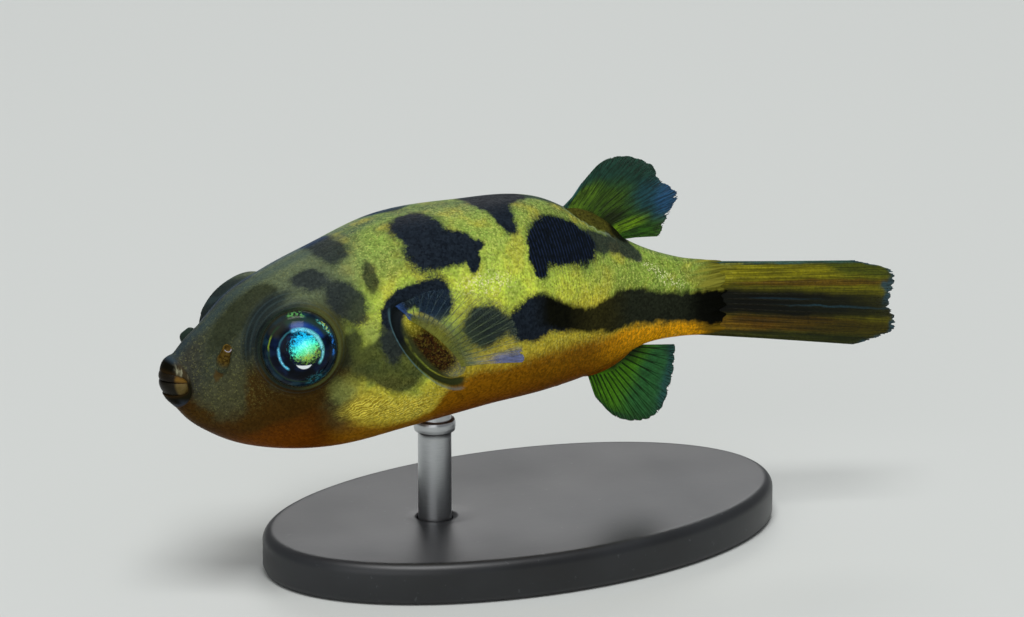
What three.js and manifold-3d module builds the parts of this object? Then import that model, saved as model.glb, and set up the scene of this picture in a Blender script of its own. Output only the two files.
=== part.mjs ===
// A dwarf freshwater pufferfish, life size, held still on a small display stand.
// Millimetres, +Z up. The fish swims level towards -X, its left side faces -Y, and its
// tail curls gently to its own left. The origin is under the middle of the whole model.

import * as THREE from 'three';
import { mergeVertices } from 'three/addons/utils/BufferGeometryUtils.js';
import Module from 'manifold-3d';

const wasm = await Module();
wasm.setup();

// ---------------------------------------------------------------- driving dimensions

// Lengths along the fish are measured from its snout, and heights from the mouth.
const SNOUT_X = -14.127; // where the snout's tip lies in the finished model
const MOUTH_Z = 8.0; // height of the mouth above the underside of the stand
const FISH_Y = 0.45; // sideways place of the head, which centres the whole model

const GAP = 0.1; // clearance between neighbouring pieces
const FIN_EDGE = 0.5; // thickness of every fin's membrane at its free edge
const RAY_SWELL = 0.12; // how far a fin ray swells the membrane on both sides together

const BEND_START = 12; // from here back the body curls to its left
const BEND_END = 22; // from here back it runs straight again
const BEND_ANGLE = THREE.MathUtils.degToRad(18);

const GILL_X = 7.6; // the head ends here, in front of the pectoral fins
const GILL_LEAN = THREE.MathUtils.degToRad(-14);
const BELLY_Z = -1.35; // the belly lies below this level
const VENT_X = 16.4; // the tail stalk starts here
const VENT_LEAN = THREE.MathUtils.degToRad(12);

// Each station is one cross-section of head and body: its height above and below the
// mouth's level, where it is widest, its half width, and how square it is (2 is an ellipse).
const stations = [
  { x: 0.66, top: 0.86, bottom: -1.0, widest: -0.13, halfWidth: 0.84, squareness: 2.0 },
  { x: 1.1, top: 1.33, bottom: -1.5, widest: -0.15, halfWidth: 1.03, squareness: 2.1 },
  { x: 1.9, top: 1.95, bottom: -2.08, widest: -0.2, halfWidth: 1.35, squareness: 2.2 },
  { x: 2.9, top: 2.78, bottom: -2.58, widest: -0.2, halfWidth: 1.8, squareness: 2.2 },
  { x: 4.4, top: 3.42, bottom: -2.96, widest: -0.2, halfWidth: 2.35, squareness: 2.3 },
  { x: 6.4, top: 4.07, bottom: -3.12, widest: -0.1, halfWidth: 2.82, squareness: 2.3 },
  { x: 9.0, top: 4.8, bottom: -2.83, widest: 0.3, halfWidth: 3.2, squareness: 2.3 },
  { x: 12.0, top: 4.9, bottom: -2.57, widest: 0.6, halfWidth: 3.1, squareness: 2.2 },
  { x: 15.0, top: 4.68, bottom: -2.4, widest: 0.7, halfWidth: 2.45, squareness: 2.1 },
  { x: 17.2, top: 3.5, bottom: -1.97, widest: 0.6, halfWidth: 1.75, squareness: 2.0 },
  { x: 19.0, top: 2.45, bottom: -1.17, widest: 0.5, halfWidth: 1.15, squareness: 2.0 },
  { x: 21.4, top: 1.83, bottom: -1.02, widest: 0.4, halfWidth: 0.62, squareness: 2.0 },
];
const SECTIONS_ALONG = 34;
const POINTS_AROUND = 28;

const EYE = {
  x: 4.26,
  z: 1.28,
  outward: 2.4, // distance of the ball's centre from the middle plane
  radius: 1.36,
  depth: 0.85, // half the thickness of the flattened ball
  turnForward: THREE.MathUtils.degToRad(22),
  turnUp: THREE.MathUtils.degToRad(10),
};
// The raised skin around the eye: half sizes of an oval swelling, deeper towards the head.
const EYE_RIM = { outward: 2.25, length: 1.78, height: 1.48, depth: 0.55, inwardDepth: 1.7 };

const MOUTH_WRAP = 0.48; // how much further back the mouth's corners lie than its front
const MOUTH_CORNER = 0.95; // half width of the mouth
const MOUTH_GAPE = 0.45; // how much further again the corners of the opening itself lie back
const WRAP_LENGTH = 1.4; // the wrap fades out along this much of the snout
const LIPS = {
  front: 0.12, // from the snout's tip to the lips' foremost line
  depth: 0.46, // from that line back to the head
  inner: 0.13, // how far back the lips' inner edge lies
  outer: 0.34, // how far back their outer edge lies, so that the muzzle is round
};
// Half sizes of the ovals that the lips fill, and the heights of their middles.
const MOUTH_RIM = { halfWidth: 0.87, halfHeight: 0.9, middle: -0.07 };
const MOUTH_OPENING = { halfWidth: 0.76, halfHeight: 0.36, middle: 0 };
const BEAK = { x: 0.25, halfWidth: 0.64, height: 0.19, depth: 0.24, edge: 0.03 };

const NOSTRIL = { x: 1.95, outward: 1.16, z: 0.84, length: 0.8, sunk: 0.3, root: 0.24, tip: 0.17 };
const NOSTRIL_OVAL = { forward: 1.1, across: 1.35 }; // how far the tube is from round
const NOSTRIL_RISE = THREE.MathUtils.degToRad(50);
const LEFT_NOSTRIL_LEAN = THREE.MathUtils.degToRad(8); // towards the snout
const RIGHT_NOSTRIL_LEAN = THREE.MathUtils.degToRad(48);
const RIGHT_NOSTRIL_FLARE = 1.55; // how much wider its tip opens than the left one's
const RIGHT_NOSTRIL_LENGTH = 0.6;

const MEDIAN_ROOT_THICKNESS = 0.75; // dorsal and anal fins, where they leave the body
const CAUDAL_ROOT_THICKNESS = 1.1;
const PECTORAL_ROOT_THICKNESS = 0.6;

// The fleshy swellings at the roots of the fins: place of the middle, and half sizes.
const DORSAL_BASE = { x: 17.1, z: 3.34, length: 1.35, height: 0.47, width: 0.48 };
const DORSAL_BASE_SLOPE = THREE.MathUtils.degToRad(34);
const ANAL_BASE = { x: 17.6, z: -1.47, length: 1.3, height: 0.52, width: 0.45 };
const ANAL_BASE_SLOPE = THREE.MathUtils.degToRad(-27);
const PECTORAL_LOBE = { x: 9.2, z: 0.83, length: 1.6, height: 0.72, depth: 0.62, outward: 3.05 };
const PECTORAL_LOBE_SLOPE = THREE.MathUtils.degToRad(49);
// The free edges of the pectoral fins, both given as on the left side.
const SPREAD_PECTORAL_EDGE = [
  [7.25, -4.3, 2.95], [8.15, -5.0, 3.5], [9.5, -5.2, 3.35], [10.8, -5.2, 2.7], [11.6, -4.8, 1.5],
  [12.2, -4.3, 0.1],
];
const SWEPT_PECTORAL_EDGE = [
  [8.75, -4.7, 2.3], [9.7, -5.1, 2.4], [10.8, -5.2, 2.2], [11.7, -5.0, 1.6], [12.2, -4.7, 0.7],
  [12.2, -4.3, -0.2],
];

const STAND = {
  length: 20,
  width: 11.9,
  thickness: 1.5,
  bevel: 0.4,
  socket: 1.1, // depth of the hole that the rod stands in
  rodRadius: 0.6,
  rodX: 10.6, // the rod's distance from the snout
};

// ---------------------------------------------------------------- solids and meshes

/** Turns a closed three.js geometry into a solid that can be joined and cut. */
function solidOf(geometry) {
  const bare = geometry.clone();
  bare.deleteAttribute('normal');
  bare.deleteAttribute('uv');
  const merged = mergeVertices(bare, 1e-4);
  const corners = merged.index.array;
  const kept = [];
  for (let i = 0; i < corners.length; i += 3) {
    const [a, b, c] = [corners[i], corners[i + 1], corners[i + 2]];
    if (a !== b && b !== c && c !== a) {
      kept.push(a, b, c);
    }
  }
  return new wasm.Manifold(new wasm.Mesh({
    numProp: 3,
    vertProperties: new Float32Array(merged.attributes.position.array),
    triVerts: new Uint32Array(kept),
  }));
}

/** Turns a solid back into a three.js geometry. */
function geometryOf(solid) {
  const mesh = solid.getMesh();
  const geometry = new THREE.BufferGeometry();
  geometry.setAttribute('position', new THREE.BufferAttribute(mesh.vertProperties, 3));
  geometry.setIndex(new THREE.BufferAttribute(mesh.triVerts, 1));
  geometry.computeVertexNormals();
  return geometry;
}

/** Moves every vertex of a geometry by a function from one point to another. */
function reshape(geometry, move) {
  const position = geometry.attributes.position;
  const point = new THREE.Vector3();
  for (let i = 0; i < position.count; i += 1) {
    point.fromBufferAttribute(position, i);
    const moved = move(point);
    position.setXYZ(i, moved.x, moved.y, moved.z);
  }
  return geometry;
}

/** The other side's twin of a geometry, mirrored in the fish's middle plane. */
function mirrored(geometry) {
  const twin = mergeVertices(geometry.clone());
  twin.scale(1, -1, 1);
  const corners = twin.index.array;
  for (let i = 0; i < corners.length; i += 3) {
    [corners[i], corners[i + 1]] = [corners[i + 1], corners[i]];
  }
  return twin;
}

const fish = new THREE.Group();
fish.position.set(SNOUT_X, FISH_Y, MOUTH_Z);

/** Adds one named piece with its colour and finish to a group. */
function addPiece(group, name, solid, color, roughness, metalness = 0) {
  const material = new THREE.MeshStandardMaterial({ color, roughness, metalness });
  const mesh = new THREE.Mesh(geometryOf(solid), material);
  mesh.name = name;
  group.add(mesh);
}

// ---------------------------------------------------------------- the body, made whole

const columns = ['top', 'bottom', 'widest', 'halfWidth', 'squareness'];
const profile = new THREE.CubicInterpolant(
  stations.map((station) => station.x),
  stations.flatMap((station) => columns.map((column) => station[column])),
  columns.length,
);

/** The cross-section at a distance from the snout. */
function sectionAt(x) {
  const [top, bottom, widest, halfWidth, squareness] = profile.evaluate(x);
  return { top, bottom, widest, halfWidth, squareness };
}

/** Sweeps a point of the snout back by its distance from the middle plane. */
function wrapSnout(point, gape = 0) {
  const fade = THREE.MathUtils.clamp(1 - (point.x - stations[0].x) / WRAP_LENGTH, 0, 1);
  point.x += (MOUTH_WRAP * fade + gape) * (point.y / MOUTH_CORNER) ** 2;
  return point;
}

/** Curls a straight fish's point to the left, keeping lengths along the middle. */
function curl({ x, y, z }) {
  const curvature = BEND_ANGLE / (BEND_END - BEND_START);
  const turned = THREE.MathUtils.clamp(x - BEND_START, 0, BEND_END - BEND_START);
  const angle = turned * curvature;
  const straight = Math.max(x - BEND_END, 0);
  const ahead = Math.min(x, BEND_START);
  return new THREE.Vector3(
    ahead + Math.sin(angle) / curvature + straight * Math.cos(angle) + y * Math.sin(angle),
    y * Math.cos(angle) - (1 - Math.cos(angle)) / curvature - straight * Math.sin(angle),
    z,
  );
}

/** A superellipse's signed power, which squares or rounds a circle's coordinate. */
function signedPower(value, power) {
  return Math.sign(value) * Math.abs(value) ** power;
}

/** The body as one solid: a closed cylinder whose rings take the stations' sections. */
function wholeBody() {
  const first = stations[0].x;
  const last = stations[stations.length - 1].x;
  const geometry = new THREE.CylinderGeometry(1, 1, 1, POINTS_AROUND, SECTIONS_ALONG);
  reshape(geometry, (point) => {
    const x = first + (point.y + 0.5) * (last - first);
    const { top, bottom, widest, halfWidth, squareness } = sectionAt(x);
    const reach = Math.min(Math.hypot(point.z, point.x), 1);
    const angle = Math.atan2(point.x, point.z);
    const across = signedPower(Math.cos(angle), 2 / squareness) * reach;
    const up = signedPower(Math.sin(angle), 2 / squareness) * reach;
    const rise = up > 0 ? top - widest : widest - bottom;
    return curl(wrapSnout(new THREE.Vector3(x, across * halfWidth, widest + up * rise)));
  });
  return solidOf(geometry);
}

/** A large block whose rear face stands across the body, leaning by an angle. */
function blockAhead(x, lean) {
  const size = 40;
  const geometry = new THREE.BoxGeometry(size, size, size);
  geometry.translate(-size / 2, 0, 0);
  geometry.rotateY(lean);
  geometry.translate(x, 0, 0);
  return solidOf(geometry);
}

/** Splits a solid at a block's face: what is inside it, and what is a gap outside it. */
function partAt(solid, block, shift) {
  return [solid.intersect(block), solid.subtract(block.translate(shift))];
}

// ---------------------------------------------------------------- eyes

/** A left eyeball, flattened, looking a little forwards and up, grown by a clearance. */
function eyeball(clearance) {
  const geometry = new THREE.SphereGeometry(1, 20, 10);
  geometry.rotateX(Math.PI / 2);
  geometry.scale(EYE.radius + clearance, EYE.depth + clearance, EYE.radius + clearance);
  geometry.rotateX(-EYE.turnUp);
  geometry.rotateZ(-EYE.turnForward);
  geometry.translate(EYE.x, -EYE.outward, EYE.z);
  return geometry;
}

/** The raised ring of skin around the left eye, as an oval swelling of the head's side. */
function eyeRim() {
  const { outward, length, height, depth, inwardDepth } = EYE_RIM;
  const geometry = new THREE.SphereGeometry(1, 18, 10);
  return reshape(geometry, ({ x, y, z }) => new THREE.Vector3(
    EYE.x + x * length,
    -outward + y * (y > 0 ? inwardDepth : depth),
    EYE.z + z * height,
  ));
}

// ---------------------------------------------------------------- mouth

/** The lips as one thick ring between the mouth's opening and its outer rim. */
function lipRing() {
  const { front, depth, inner, outer } = LIPS;
  const section = new THREE.SplineCurve([
    new THREE.Vector2(0.08, depth),
    new THREE.Vector2(0, inner),
    new THREE.Vector2(0.22, 0),
    new THREE.Vector2(0.58, 0.04),
    new THREE.Vector2(0.9, outer / 2),
    new THREE.Vector2(1, outer),
    new THREE.Vector2(0.95, depth),
  ]);
  const ring = section.getPoints(8).map(({ x, y }) => new THREE.Vector2(x + 1, y));
  ring.push(ring[0].clone());
  const geometry = new THREE.LatheGeometry(ring, 22);
  reshape(geometry, (point) => {
    const share = Math.hypot(point.x, point.z) - 1; // 0 at the opening, 1 at the outer rim
    const angle = Math.atan2(point.z, point.x);
    const between = (key) => THREE.MathUtils.lerp(MOUTH_OPENING[key], MOUTH_RIM[key], share);
    return wrapSnout(new THREE.Vector3(
      front + point.y,
      Math.sin(angle) * between('halfWidth'),
      between('middle') + Math.cos(angle) * between('halfHeight'),
    ), MOUTH_GAPE * (1 - share));
  });
  return solidOf(geometry).subtract(clearOfHead);
}

/** One plate of the beak: a short curved wedge just inside the lips. */
function beakPlate(direction) {
  const { x, halfWidth, height, depth, edge } = BEAK;
  const geometry = new THREE.SphereGeometry(1, 10, 6);
  reshape(geometry, (point) => {
    const reach = point.x < 0 ? depth / 2 : depth;
    const away = point.z * direction;
    const rise = GAP / 2 + edge + away * (away > 0 ? height : edge);
    return wrapSnout(new THREE.Vector3(
      x + point.x * reach,
      point.y * halfWidth,
      MOUTH_OPENING.middle + direction * rise,
    ), MOUTH_GAPE);
  });
  return solidOf(geometry).subtract(clearOfHead);
}

// ---------------------------------------------------------------- nostrils

/** A nostril's short fleshy tube on the left, which stands out from the snout and leans forward. */
function nostrilTube(clearance, lean, flare = 1, length = NOSTRIL.length) {
  const { x, outward, z, sunk, root, tip } = NOSTRIL;
  const tall = length + sunk + clearance;
  const geometry = new THREE.CylinderGeometry(tip * flare + clearance, root + clearance, tall, 10, 2);
  geometry.scale(NOSTRIL_OVAL.forward, 1, NOSTRIL_OVAL.across);
  geometry.translate(0, tall / 2 - sunk, 0);
  geometry.rotateX(Math.PI - NOSTRIL_RISE);
  geometry.rotateZ(-lean);
  geometry.translate(x, -outward, z);
  return geometry;
}

// ---------------------------------------------------------------- fins

/**
 * A fin as a closed sheet between the curve of its root and the curve of its free edge.
 * Rays run from one to the other. The sheet thins towards the edge and swells at each ray.
 */
function fin({ root, edge, rays, steps, rootThickness, place }) {
  const geometry = new THREE.BoxGeometry(1, 1, 1, 2 * rays, steps, 1);
  reshape(geometry, (point) => {
    const along = point.x + 0.5;
    const out = point.y + 0.5;
    const start = root.getPoint(along);
    const end = edge.getPoint(along);
    const onRay = (1 - Math.cos(2 * Math.PI * rays * along)) / 2;
    const thickness = THREE.MathUtils.lerp(rootThickness, FIN_EDGE, Math.sqrt(out));
    const middle = start.clone().lerp(end, out);
    return place(middle, point.z * (thickness + RAY_SWELL * onRay), along, out);
  });
  return geometry;
}

/** Points of a fin in the middle plane, given as distance from the snout and height. */
function finCurve(...points) {
  return new THREE.SplineCurve(points.map(([x, z]) => new THREE.Vector2(x, z)));
}

/** Puts a point of a fin of the middle plane on the curled fish. */
function onMiddlePlane(middle, offset) {
  return curl(new THREE.Vector3(middle.x, -offset, middle.y));
}

/** The low fleshy swelling that a fin of the middle plane grows from. */
function fleshyBase({ x, z, length, height, width }, slope) {
  const geometry = new THREE.SphereGeometry(1, 16, 8);
  geometry.scale(length, width, height);
  geometry.rotateY(slope);
  geometry.translate(x, 0, z);
  return solidOf(reshape(geometry, curl));
}

/** Dorsal fin: a rounded fan with a nick behind its crown. */
function dorsalFin() {
  return fin({
    root: finCurve([15.95, 4.12], [17.0, 3.5], [18.05, 2.85]),
    edge: finCurve(
      [16.68, 5.02], [17.48, 5.77], [18.37, 5.91], [19.3, 5.53], [19.62, 4.95],
      [20.33, 4.36], [20.05, 3.7], [19.63, 2.8],
    ),
    rays: 9,
    steps: 2,
    rootThickness: MEDIAN_ROOT_THICKNESS,
    place: onMiddlePlane,
  });
}

/** Anal fin: a broad fan whose last rays lie along the tail stalk. */
function analFin() {
  return fin({
    root: finCurve([16.85, -1.9], [17.6, -1.7], [18.4, -1.2]),
    edge: finCurve(
      [17.22, -3.06], [18.0, -3.88], [19.0, -4.15], [19.75, -3.75], [20.18, -2.4],
      [20.28, -1.32],
    ),
    rays: 10,
    steps: 2,
    rootThickness: MEDIAN_ROOT_THICKNESS,
    place: (middle, offset) => onMiddlePlane(middle, -offset),
  });
}

/** Tail fin: a closed brush of nearly parallel rays. */
function caudalFin() {
  return fin({
    root: finCurve([21.3, 1.7], [21.55, 0.35], [21.3, -0.98]),
    edge: finCurve(
      [26.95, 1.43], [28.3, 1.01], [28.43, 0.45], [28.27, -0.23], [28.5, -0.85], [28.35, -1.34],
      [27.0, -1.72],
    ),
    rays: 8,
    steps: 3,
    rootThickness: CAUDAL_ROOT_THICKNESS,
    place: onMiddlePlane,
  });
}

/** The fleshy lobe that carries a pectoral fin, as a leaning oval cushion. */
function pectoralLobe(clearance) {
  const { x, z, length, height, depth, outward } = PECTORAL_LOBE;
  const geometry = new THREE.SphereGeometry(1, 16, 8);
  geometry.scale(length + clearance, depth + clearance, height + clearance);
  geometry.rotateY(PECTORAL_LOBE_SLOPE);
  geometry.translate(x, -outward, z);
  return geometry;
}

/**
 * A pectoral fin as it lies on the left side: a fan that flares up, back and away from the body.
 * The two fins beat in turn. The left one stands spread, and the right one is swept back.
 */
function pectoralFin(edgePoints) {
  const root = new THREE.CatmullRomCurve3([
    new THREE.Vector3(8.0, -3.35, 2.05),
    new THREE.Vector3(8.8, -3.5, 1.55),
    new THREE.Vector3(9.5, -3.5, 0.75),
    new THREE.Vector3(10.05, -3.35, 0.05),
  ]);
  const edge = new THREE.CatmullRomCurve3(edgePoints.map((point) => new THREE.Vector3(...point)));
  return fin({
    root,
    edge,
    rays: 8,
    steps: 2,
    rootThickness: PECTORAL_ROOT_THICKNESS,
    place: (middle, offset, along, out) => {
      const acrossFan = edge.getTangent(along).lerp(root.getTangent(along), 1 - out);
      const outFan = edge.getPoint(along).sub(root.getPoint(along));
      const normal = acrossFan.cross(outFan).normalize();
      return middle.addScaledVector(normal, offset);
    },
  });
}

// ---------------------------------------------------------------- putting it together

const COLORS = {
  back: 0x8a8a3c,
  head: 0x6b603c,
  belly: 0xa4571c,
  lip: 0x77767a,
  nostril: 0x8a5a22,
  lobe: 0x7a5a22,
  finBase: 0x6d6a2a,
  eye: 0x123a52,
  beak: 0xd8c79a,
  dorsal: 0x3f6a4a,
  anal: 0x4f7a34,
  caudal: 0x70702a,
  pectoral: 0x8f9a6a,
  standBase: 0x2a2a2c,
  standRod: 0xb8b8bc,
};

const body = wholeBody();
const clearOfHead = body.translate([-GAP, 0, 0]); // what the mouth's pieces stay out of
const toTheRear = [GAP, 0, 0];
const [headBlank, behindHead] = partAt(body, blockAhead(GILL_X, GILL_LEAN), toTheRear);
const [trunkBlank, tailStalk] = partAt(behindHead, blockAhead(VENT_X, VENT_LEAN), toTheRear);

let head = headBlank.add(solidOf(eyeRim())).add(solidOf(mirrored(eyeRim())));
for (const room of [
  eyeball(GAP),
  mirrored(eyeball(GAP)),
  nostrilTube(GAP, LEFT_NOSTRIL_LEAN),
  mirrored(nostrilTube(GAP, RIGHT_NOSTRIL_LEAN, RIGHT_NOSTRIL_FLARE, RIGHT_NOSTRIL_LENGTH)),
]) {
  head = head.subtract(solidOf(room));
}
addPiece(fish, 'head', head, COLORS.head, 0.45);

const leftLobeRoom = solidOf(pectoralLobe(GAP));
const rightLobeRoom = solidOf(mirrored(pectoralLobe(GAP)));
const trunkAndBelly = trunkBlank.subtract(leftLobeRoom).subtract(rightLobeRoom);
const below = new THREE.BoxGeometry(60, 20, 20);
below.translate(0, 0, BELLY_Z - 10);
const [belly, trunk] = partAt(trunkAndBelly, solidOf(below), [0, 0, GAP]);
addPiece(fish, 'trunk', trunk, COLORS.back, 0.4);
addPiece(fish, 'belly', belly, COLORS.belly, 0.45);
addPiece(fish, 'tail_stalk', tailStalk, COLORS.back, 0.4);

const above = new THREE.BoxGeometry(10, 10, 10);
above.translate(0, 0, 5 + MOUTH_OPENING.middle + GAP / 2);
const [upperLip, lowerLip] = partAt(lipRing(), solidOf(above), [0, 0, -GAP]);
addPiece(fish, 'upper_lip', upperLip, COLORS.lip, 0.4);
addPiece(fish, 'lower_lip', lowerLip, COLORS.lip, 0.4);
addPiece(fish, 'upper_beak', beakPlate(1), COLORS.beak, 0.3);
addPiece(fish, 'lower_beak', beakPlate(-1), COLORS.beak, 0.3);

/** Adds a left piece under the name of its side, and its mirrored twin on the right. */
function addPair(name, geometry, color, roughness) {
  addPiece(fish, `${name}_left`, solidOf(geometry), color, roughness);
  addPiece(fish, `${name}_right`, solidOf(mirrored(geometry)), color, roughness);
}

const besideBody = body.translate([0, -GAP, 0]);
const [spreadFin, sweptFin] = [SPREAD_PECTORAL_EDGE, SWEPT_PECTORAL_EDGE].map((edge) => (
  geometryOf(solidOf(pectoralFin(edge)).subtract(leftLobeRoom).subtract(besideBody))
));
addPair('eye', eyeball(0), COLORS.eye, 0.12);
const rightTube = nostrilTube(0, RIGHT_NOSTRIL_LEAN, RIGHT_NOSTRIL_FLARE, RIGHT_NOSTRIL_LENGTH);
const rightNostril = solidOf(mirrored(rightTube));
addPiece(fish, 'nostril_left', solidOf(nostrilTube(0, LEFT_NOSTRIL_LEAN)), COLORS.nostril, 0.4);
addPiece(fish, 'nostril_right', rightNostril, COLORS.nostril, 0.4);
addPair('pectoral_base', pectoralLobe(0), COLORS.lobe, 0.45);
addPiece(fish, 'pectoral_fin_left', solidOf(spreadFin), COLORS.pectoral, 0.35);
addPiece(fish, 'pectoral_fin_right', solidOf(mirrored(sweptFin)), COLORS.pectoral, 0.35);

/** Adds a fin of the middle plane on its fleshy base, both raised clear of what bears them. */
function addMedianFin(name, finGeometry, base, color, gap) {
  const clearBase = base.subtract(body).translate([0, 0, gap]);
  const clearFin = solidOf(finGeometry).translate([0, 0, -2 * gap]).subtract(base).subtract(body);
  addPiece(fish, `${name}_base`, clearBase, COLORS.finBase, 0.45);
  addPiece(fish, name, clearFin.translate([0, 0, 2 * gap]), color, 0.4);
}

addMedianFin('dorsal_fin', dorsalFin(), fleshyBase(DORSAL_BASE, DORSAL_BASE_SLOPE), COLORS.dorsal, GAP);
addMedianFin('anal_fin', analFin(), fleshyBase(ANAL_BASE, ANAL_BASE_SLOPE), COLORS.anal, -GAP);

const tailFin = solidOf(caudalFin()).subtract(body).translate(toTheRear);
addPiece(fish, 'caudal_fin', tailFin, COLORS.caudal, 0.4);

// ---------------------------------------------------------------- display stand

const stand = new THREE.Group();

const rodX = SNOUT_X + STAND.rodX;
const roundRod = 20; // sides of the rod and of its socket

/** The foot: an oval plate with a softened upper edge and a socket for the rod. */
function standBase() {
  const { length, width, thickness, bevel, socket, rodRadius } = STAND;
  const outline = new THREE.Shape();
  outline.absellipse(0, 0, length / 2 - bevel, width / 2 - bevel, 0, Math.PI * 2);
  const plate = new THREE.ExtrudeGeometry(outline, {
    depth: thickness - bevel,
    curveSegments: 16,
    bevelEnabled: true,
    bevelThickness: bevel,
    bevelSize: bevel,
    bevelSegments: 2,
  });
  const aboveFloor = new THREE.BoxGeometry(2 * length, 2 * width, 10);
  aboveFloor.translate(0, 0, 5);
  const hole = new THREE.CylinderGeometry(rodRadius + GAP, rodRadius + GAP, 2 * socket, roundRod);
  hole.rotateX(Math.PI / 2);
  hole.translate(rodX, 0, thickness);
  return solidOf(plate).intersect(solidOf(aboveFloor)).subtract(solidOf(hole));
}

/** The rod: from its socket up to the belly, its top shaped to the belly's curve. */
function standRod() {
  const { thickness, socket, rodRadius } = STAND;
  const bottom = thickness - socket + GAP;
  const height = MOUTH_Z - bottom;
  const rod = new THREE.CylinderGeometry(rodRadius, rodRadius, height, roundRod);
  rod.rotateX(Math.PI / 2);
  rod.translate(rodX, 0, bottom + height / 2);
  return solidOf(rod).subtract(body.translate([SNOUT_X, FISH_Y, MOUTH_Z - GAP]));
}

addPiece(stand, 'stand_base', standBase(), COLORS.standBase, 0.35);
addPiece(stand, 'stand_rod', standRod(), COLORS.standRod, 0.25, 1);

const model = new THREE.Group();
model.add(fish);
model.add(stand);

export default model;
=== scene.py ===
import math

import bpy
import numpy as np
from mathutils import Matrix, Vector


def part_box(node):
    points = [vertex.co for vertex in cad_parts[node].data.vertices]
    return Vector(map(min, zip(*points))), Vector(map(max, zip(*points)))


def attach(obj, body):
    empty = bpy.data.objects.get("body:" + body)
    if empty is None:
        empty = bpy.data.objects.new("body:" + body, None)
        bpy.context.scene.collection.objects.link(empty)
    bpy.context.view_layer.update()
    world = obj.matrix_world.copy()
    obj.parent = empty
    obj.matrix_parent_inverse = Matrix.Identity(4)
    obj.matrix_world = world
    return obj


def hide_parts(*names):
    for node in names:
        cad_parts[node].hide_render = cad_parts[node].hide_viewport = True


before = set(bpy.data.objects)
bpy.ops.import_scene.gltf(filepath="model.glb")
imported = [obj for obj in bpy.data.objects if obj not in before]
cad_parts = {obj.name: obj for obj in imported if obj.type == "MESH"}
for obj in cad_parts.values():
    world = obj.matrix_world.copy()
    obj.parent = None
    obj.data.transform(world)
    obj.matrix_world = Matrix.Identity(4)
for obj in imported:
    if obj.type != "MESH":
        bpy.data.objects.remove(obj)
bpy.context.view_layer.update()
MM = 0.001  # sizes of the fish are in millimetres from its snout's tip, and the scene is in metres


# ---------------------------------------------------------------- skin
# The pufferfish's scaleless skin: one unbroken hide over head, trunk, belly and tail stalk, with
# the lips, the nostril tubes and the fleshy roots of the fins growing out of it. It is lofted
# from cross-sections along the fish, straight, and then curled to the left with the tail.

EYE_X, EYE_Z = 4.26, 1.28  # the eyeballs' middle
left_eye_low, left_eye_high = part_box("eye_left")
_, right_eye_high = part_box("eye_right")
snout_tip = np.array([
    (left_eye_low.x + left_eye_high.x) / 2 - EYE_X * MM,
    (left_eye_low.y + right_eye_high.y) / 2,
    (left_eye_low.z + left_eye_high.z) / 2 - EYE_Z * MM,
])

BEND_START, BEND_END = 12.0, 22.0  # the tail curls evenly between these
BEND_ANGLE = math.radians(18)
LIPS_END, HEAD_END, BODY_END = 0.66, 7.6, 21.4  # where one set of rows gives way to the next
MOUTH_WRAP, MOUTH_CORNER, WRAP_LENGTH = 0.48, 0.95, 1.4
MOUTH_GAPE = 0.45  # how much further back the corners of the mouth's opening itself lie
CHIN_SLOPE, CHIN_DEPTH, CHIN_FADE = 0.2, 0.8, 0.3  # how the lower lip falls back to the chin

# distance from the snout: top, bottom, widest level, half width, squareness (2 is an ellipse)
sections = {
    LIPS_END: (0.97, -1.00, -0.13, 0.84, 2.0),
    1.1: (1.39, -1.50, -0.15, 1.03, 2.1),
    1.9: (1.95, -2.08, -0.20, 1.35, 2.2),
    2.9: (2.78, -2.58, -0.20, 1.80, 2.2),
    4.4: (3.42, -2.96, -0.20, 2.35, 2.3),
    6.4: (4.07, -3.12, -0.10, 2.82, 2.3),
    9.0: (4.80, -2.83, 0.30, 3.20, 2.3),
    12.0: (4.90, -2.57, 0.60, 3.10, 2.2),
    15.0: (4.68, -2.40, 0.70, 2.45, 2.1),
    17.2: (3.50, -1.97, 0.60, 1.75, 2.0),
    19.0: (2.45, -1.17, 0.50, 1.15, 2.0),
    20.4: (1.96, -1.01, 0.44, 0.68, 2.0),
    BODY_END: (1.80, -1.03, 0.40, 0.34, 2.0),
}
# the tail stalk's flesh thins out over the root of the tail fin
tail_root = [
    (BODY_END, 1.80, -1.03, 0.40, 0.34, 2.0),
    (21.6, 1.78, -1.03, 0.39, 0.25, 2.0),
    (21.8, 1.76, -1.02, 0.38, 0.17, 2.0),
    (22.0, 1.72, -1.00, 0.37, 0.09, 2.0),
    (22.1, 1.60, -0.88, 0.36, 0.02, 2.0),
]
# from the head over the lips' fullest line and their crest into the mouth's cavity
lip_rows = [
    (LIPS_END, 0.97, -1.00, -0.13, 0.84, 2.0),
    (0.58, 0.93, -0.97, -0.12, 0.83, 2.0),
    (0.47, 0.89, -0.93, -0.11, 0.85, 2.1),
    (0.31, 0.79, -0.83, -0.09, 0.86, 2.2),
    (0.19, 0.65, -0.68, -0.06, 0.84, 2.4),
    (0.115, 0.48, -0.52, -0.03, 0.81, 2.8),
    (0.115, 0.38, -0.44, 0.00, 0.78, 3.2),
    (0.30, 0.34, -0.40, 0.00, 0.74, 3.4),
    (0.90, 0.26, -0.32, 0.00, 0.58, 3.0),
    (1.25, 0.12, -0.16, 0.00, 0.28, 2.2),
]
lip_gape = [0, 0, 0.02, 0.10, 0.28, 0.42, MOUTH_GAPE, MOUTH_GAPE, 0.2, 0]
LIP_CREST = 4.5  # place of the crest among the rows above


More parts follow.
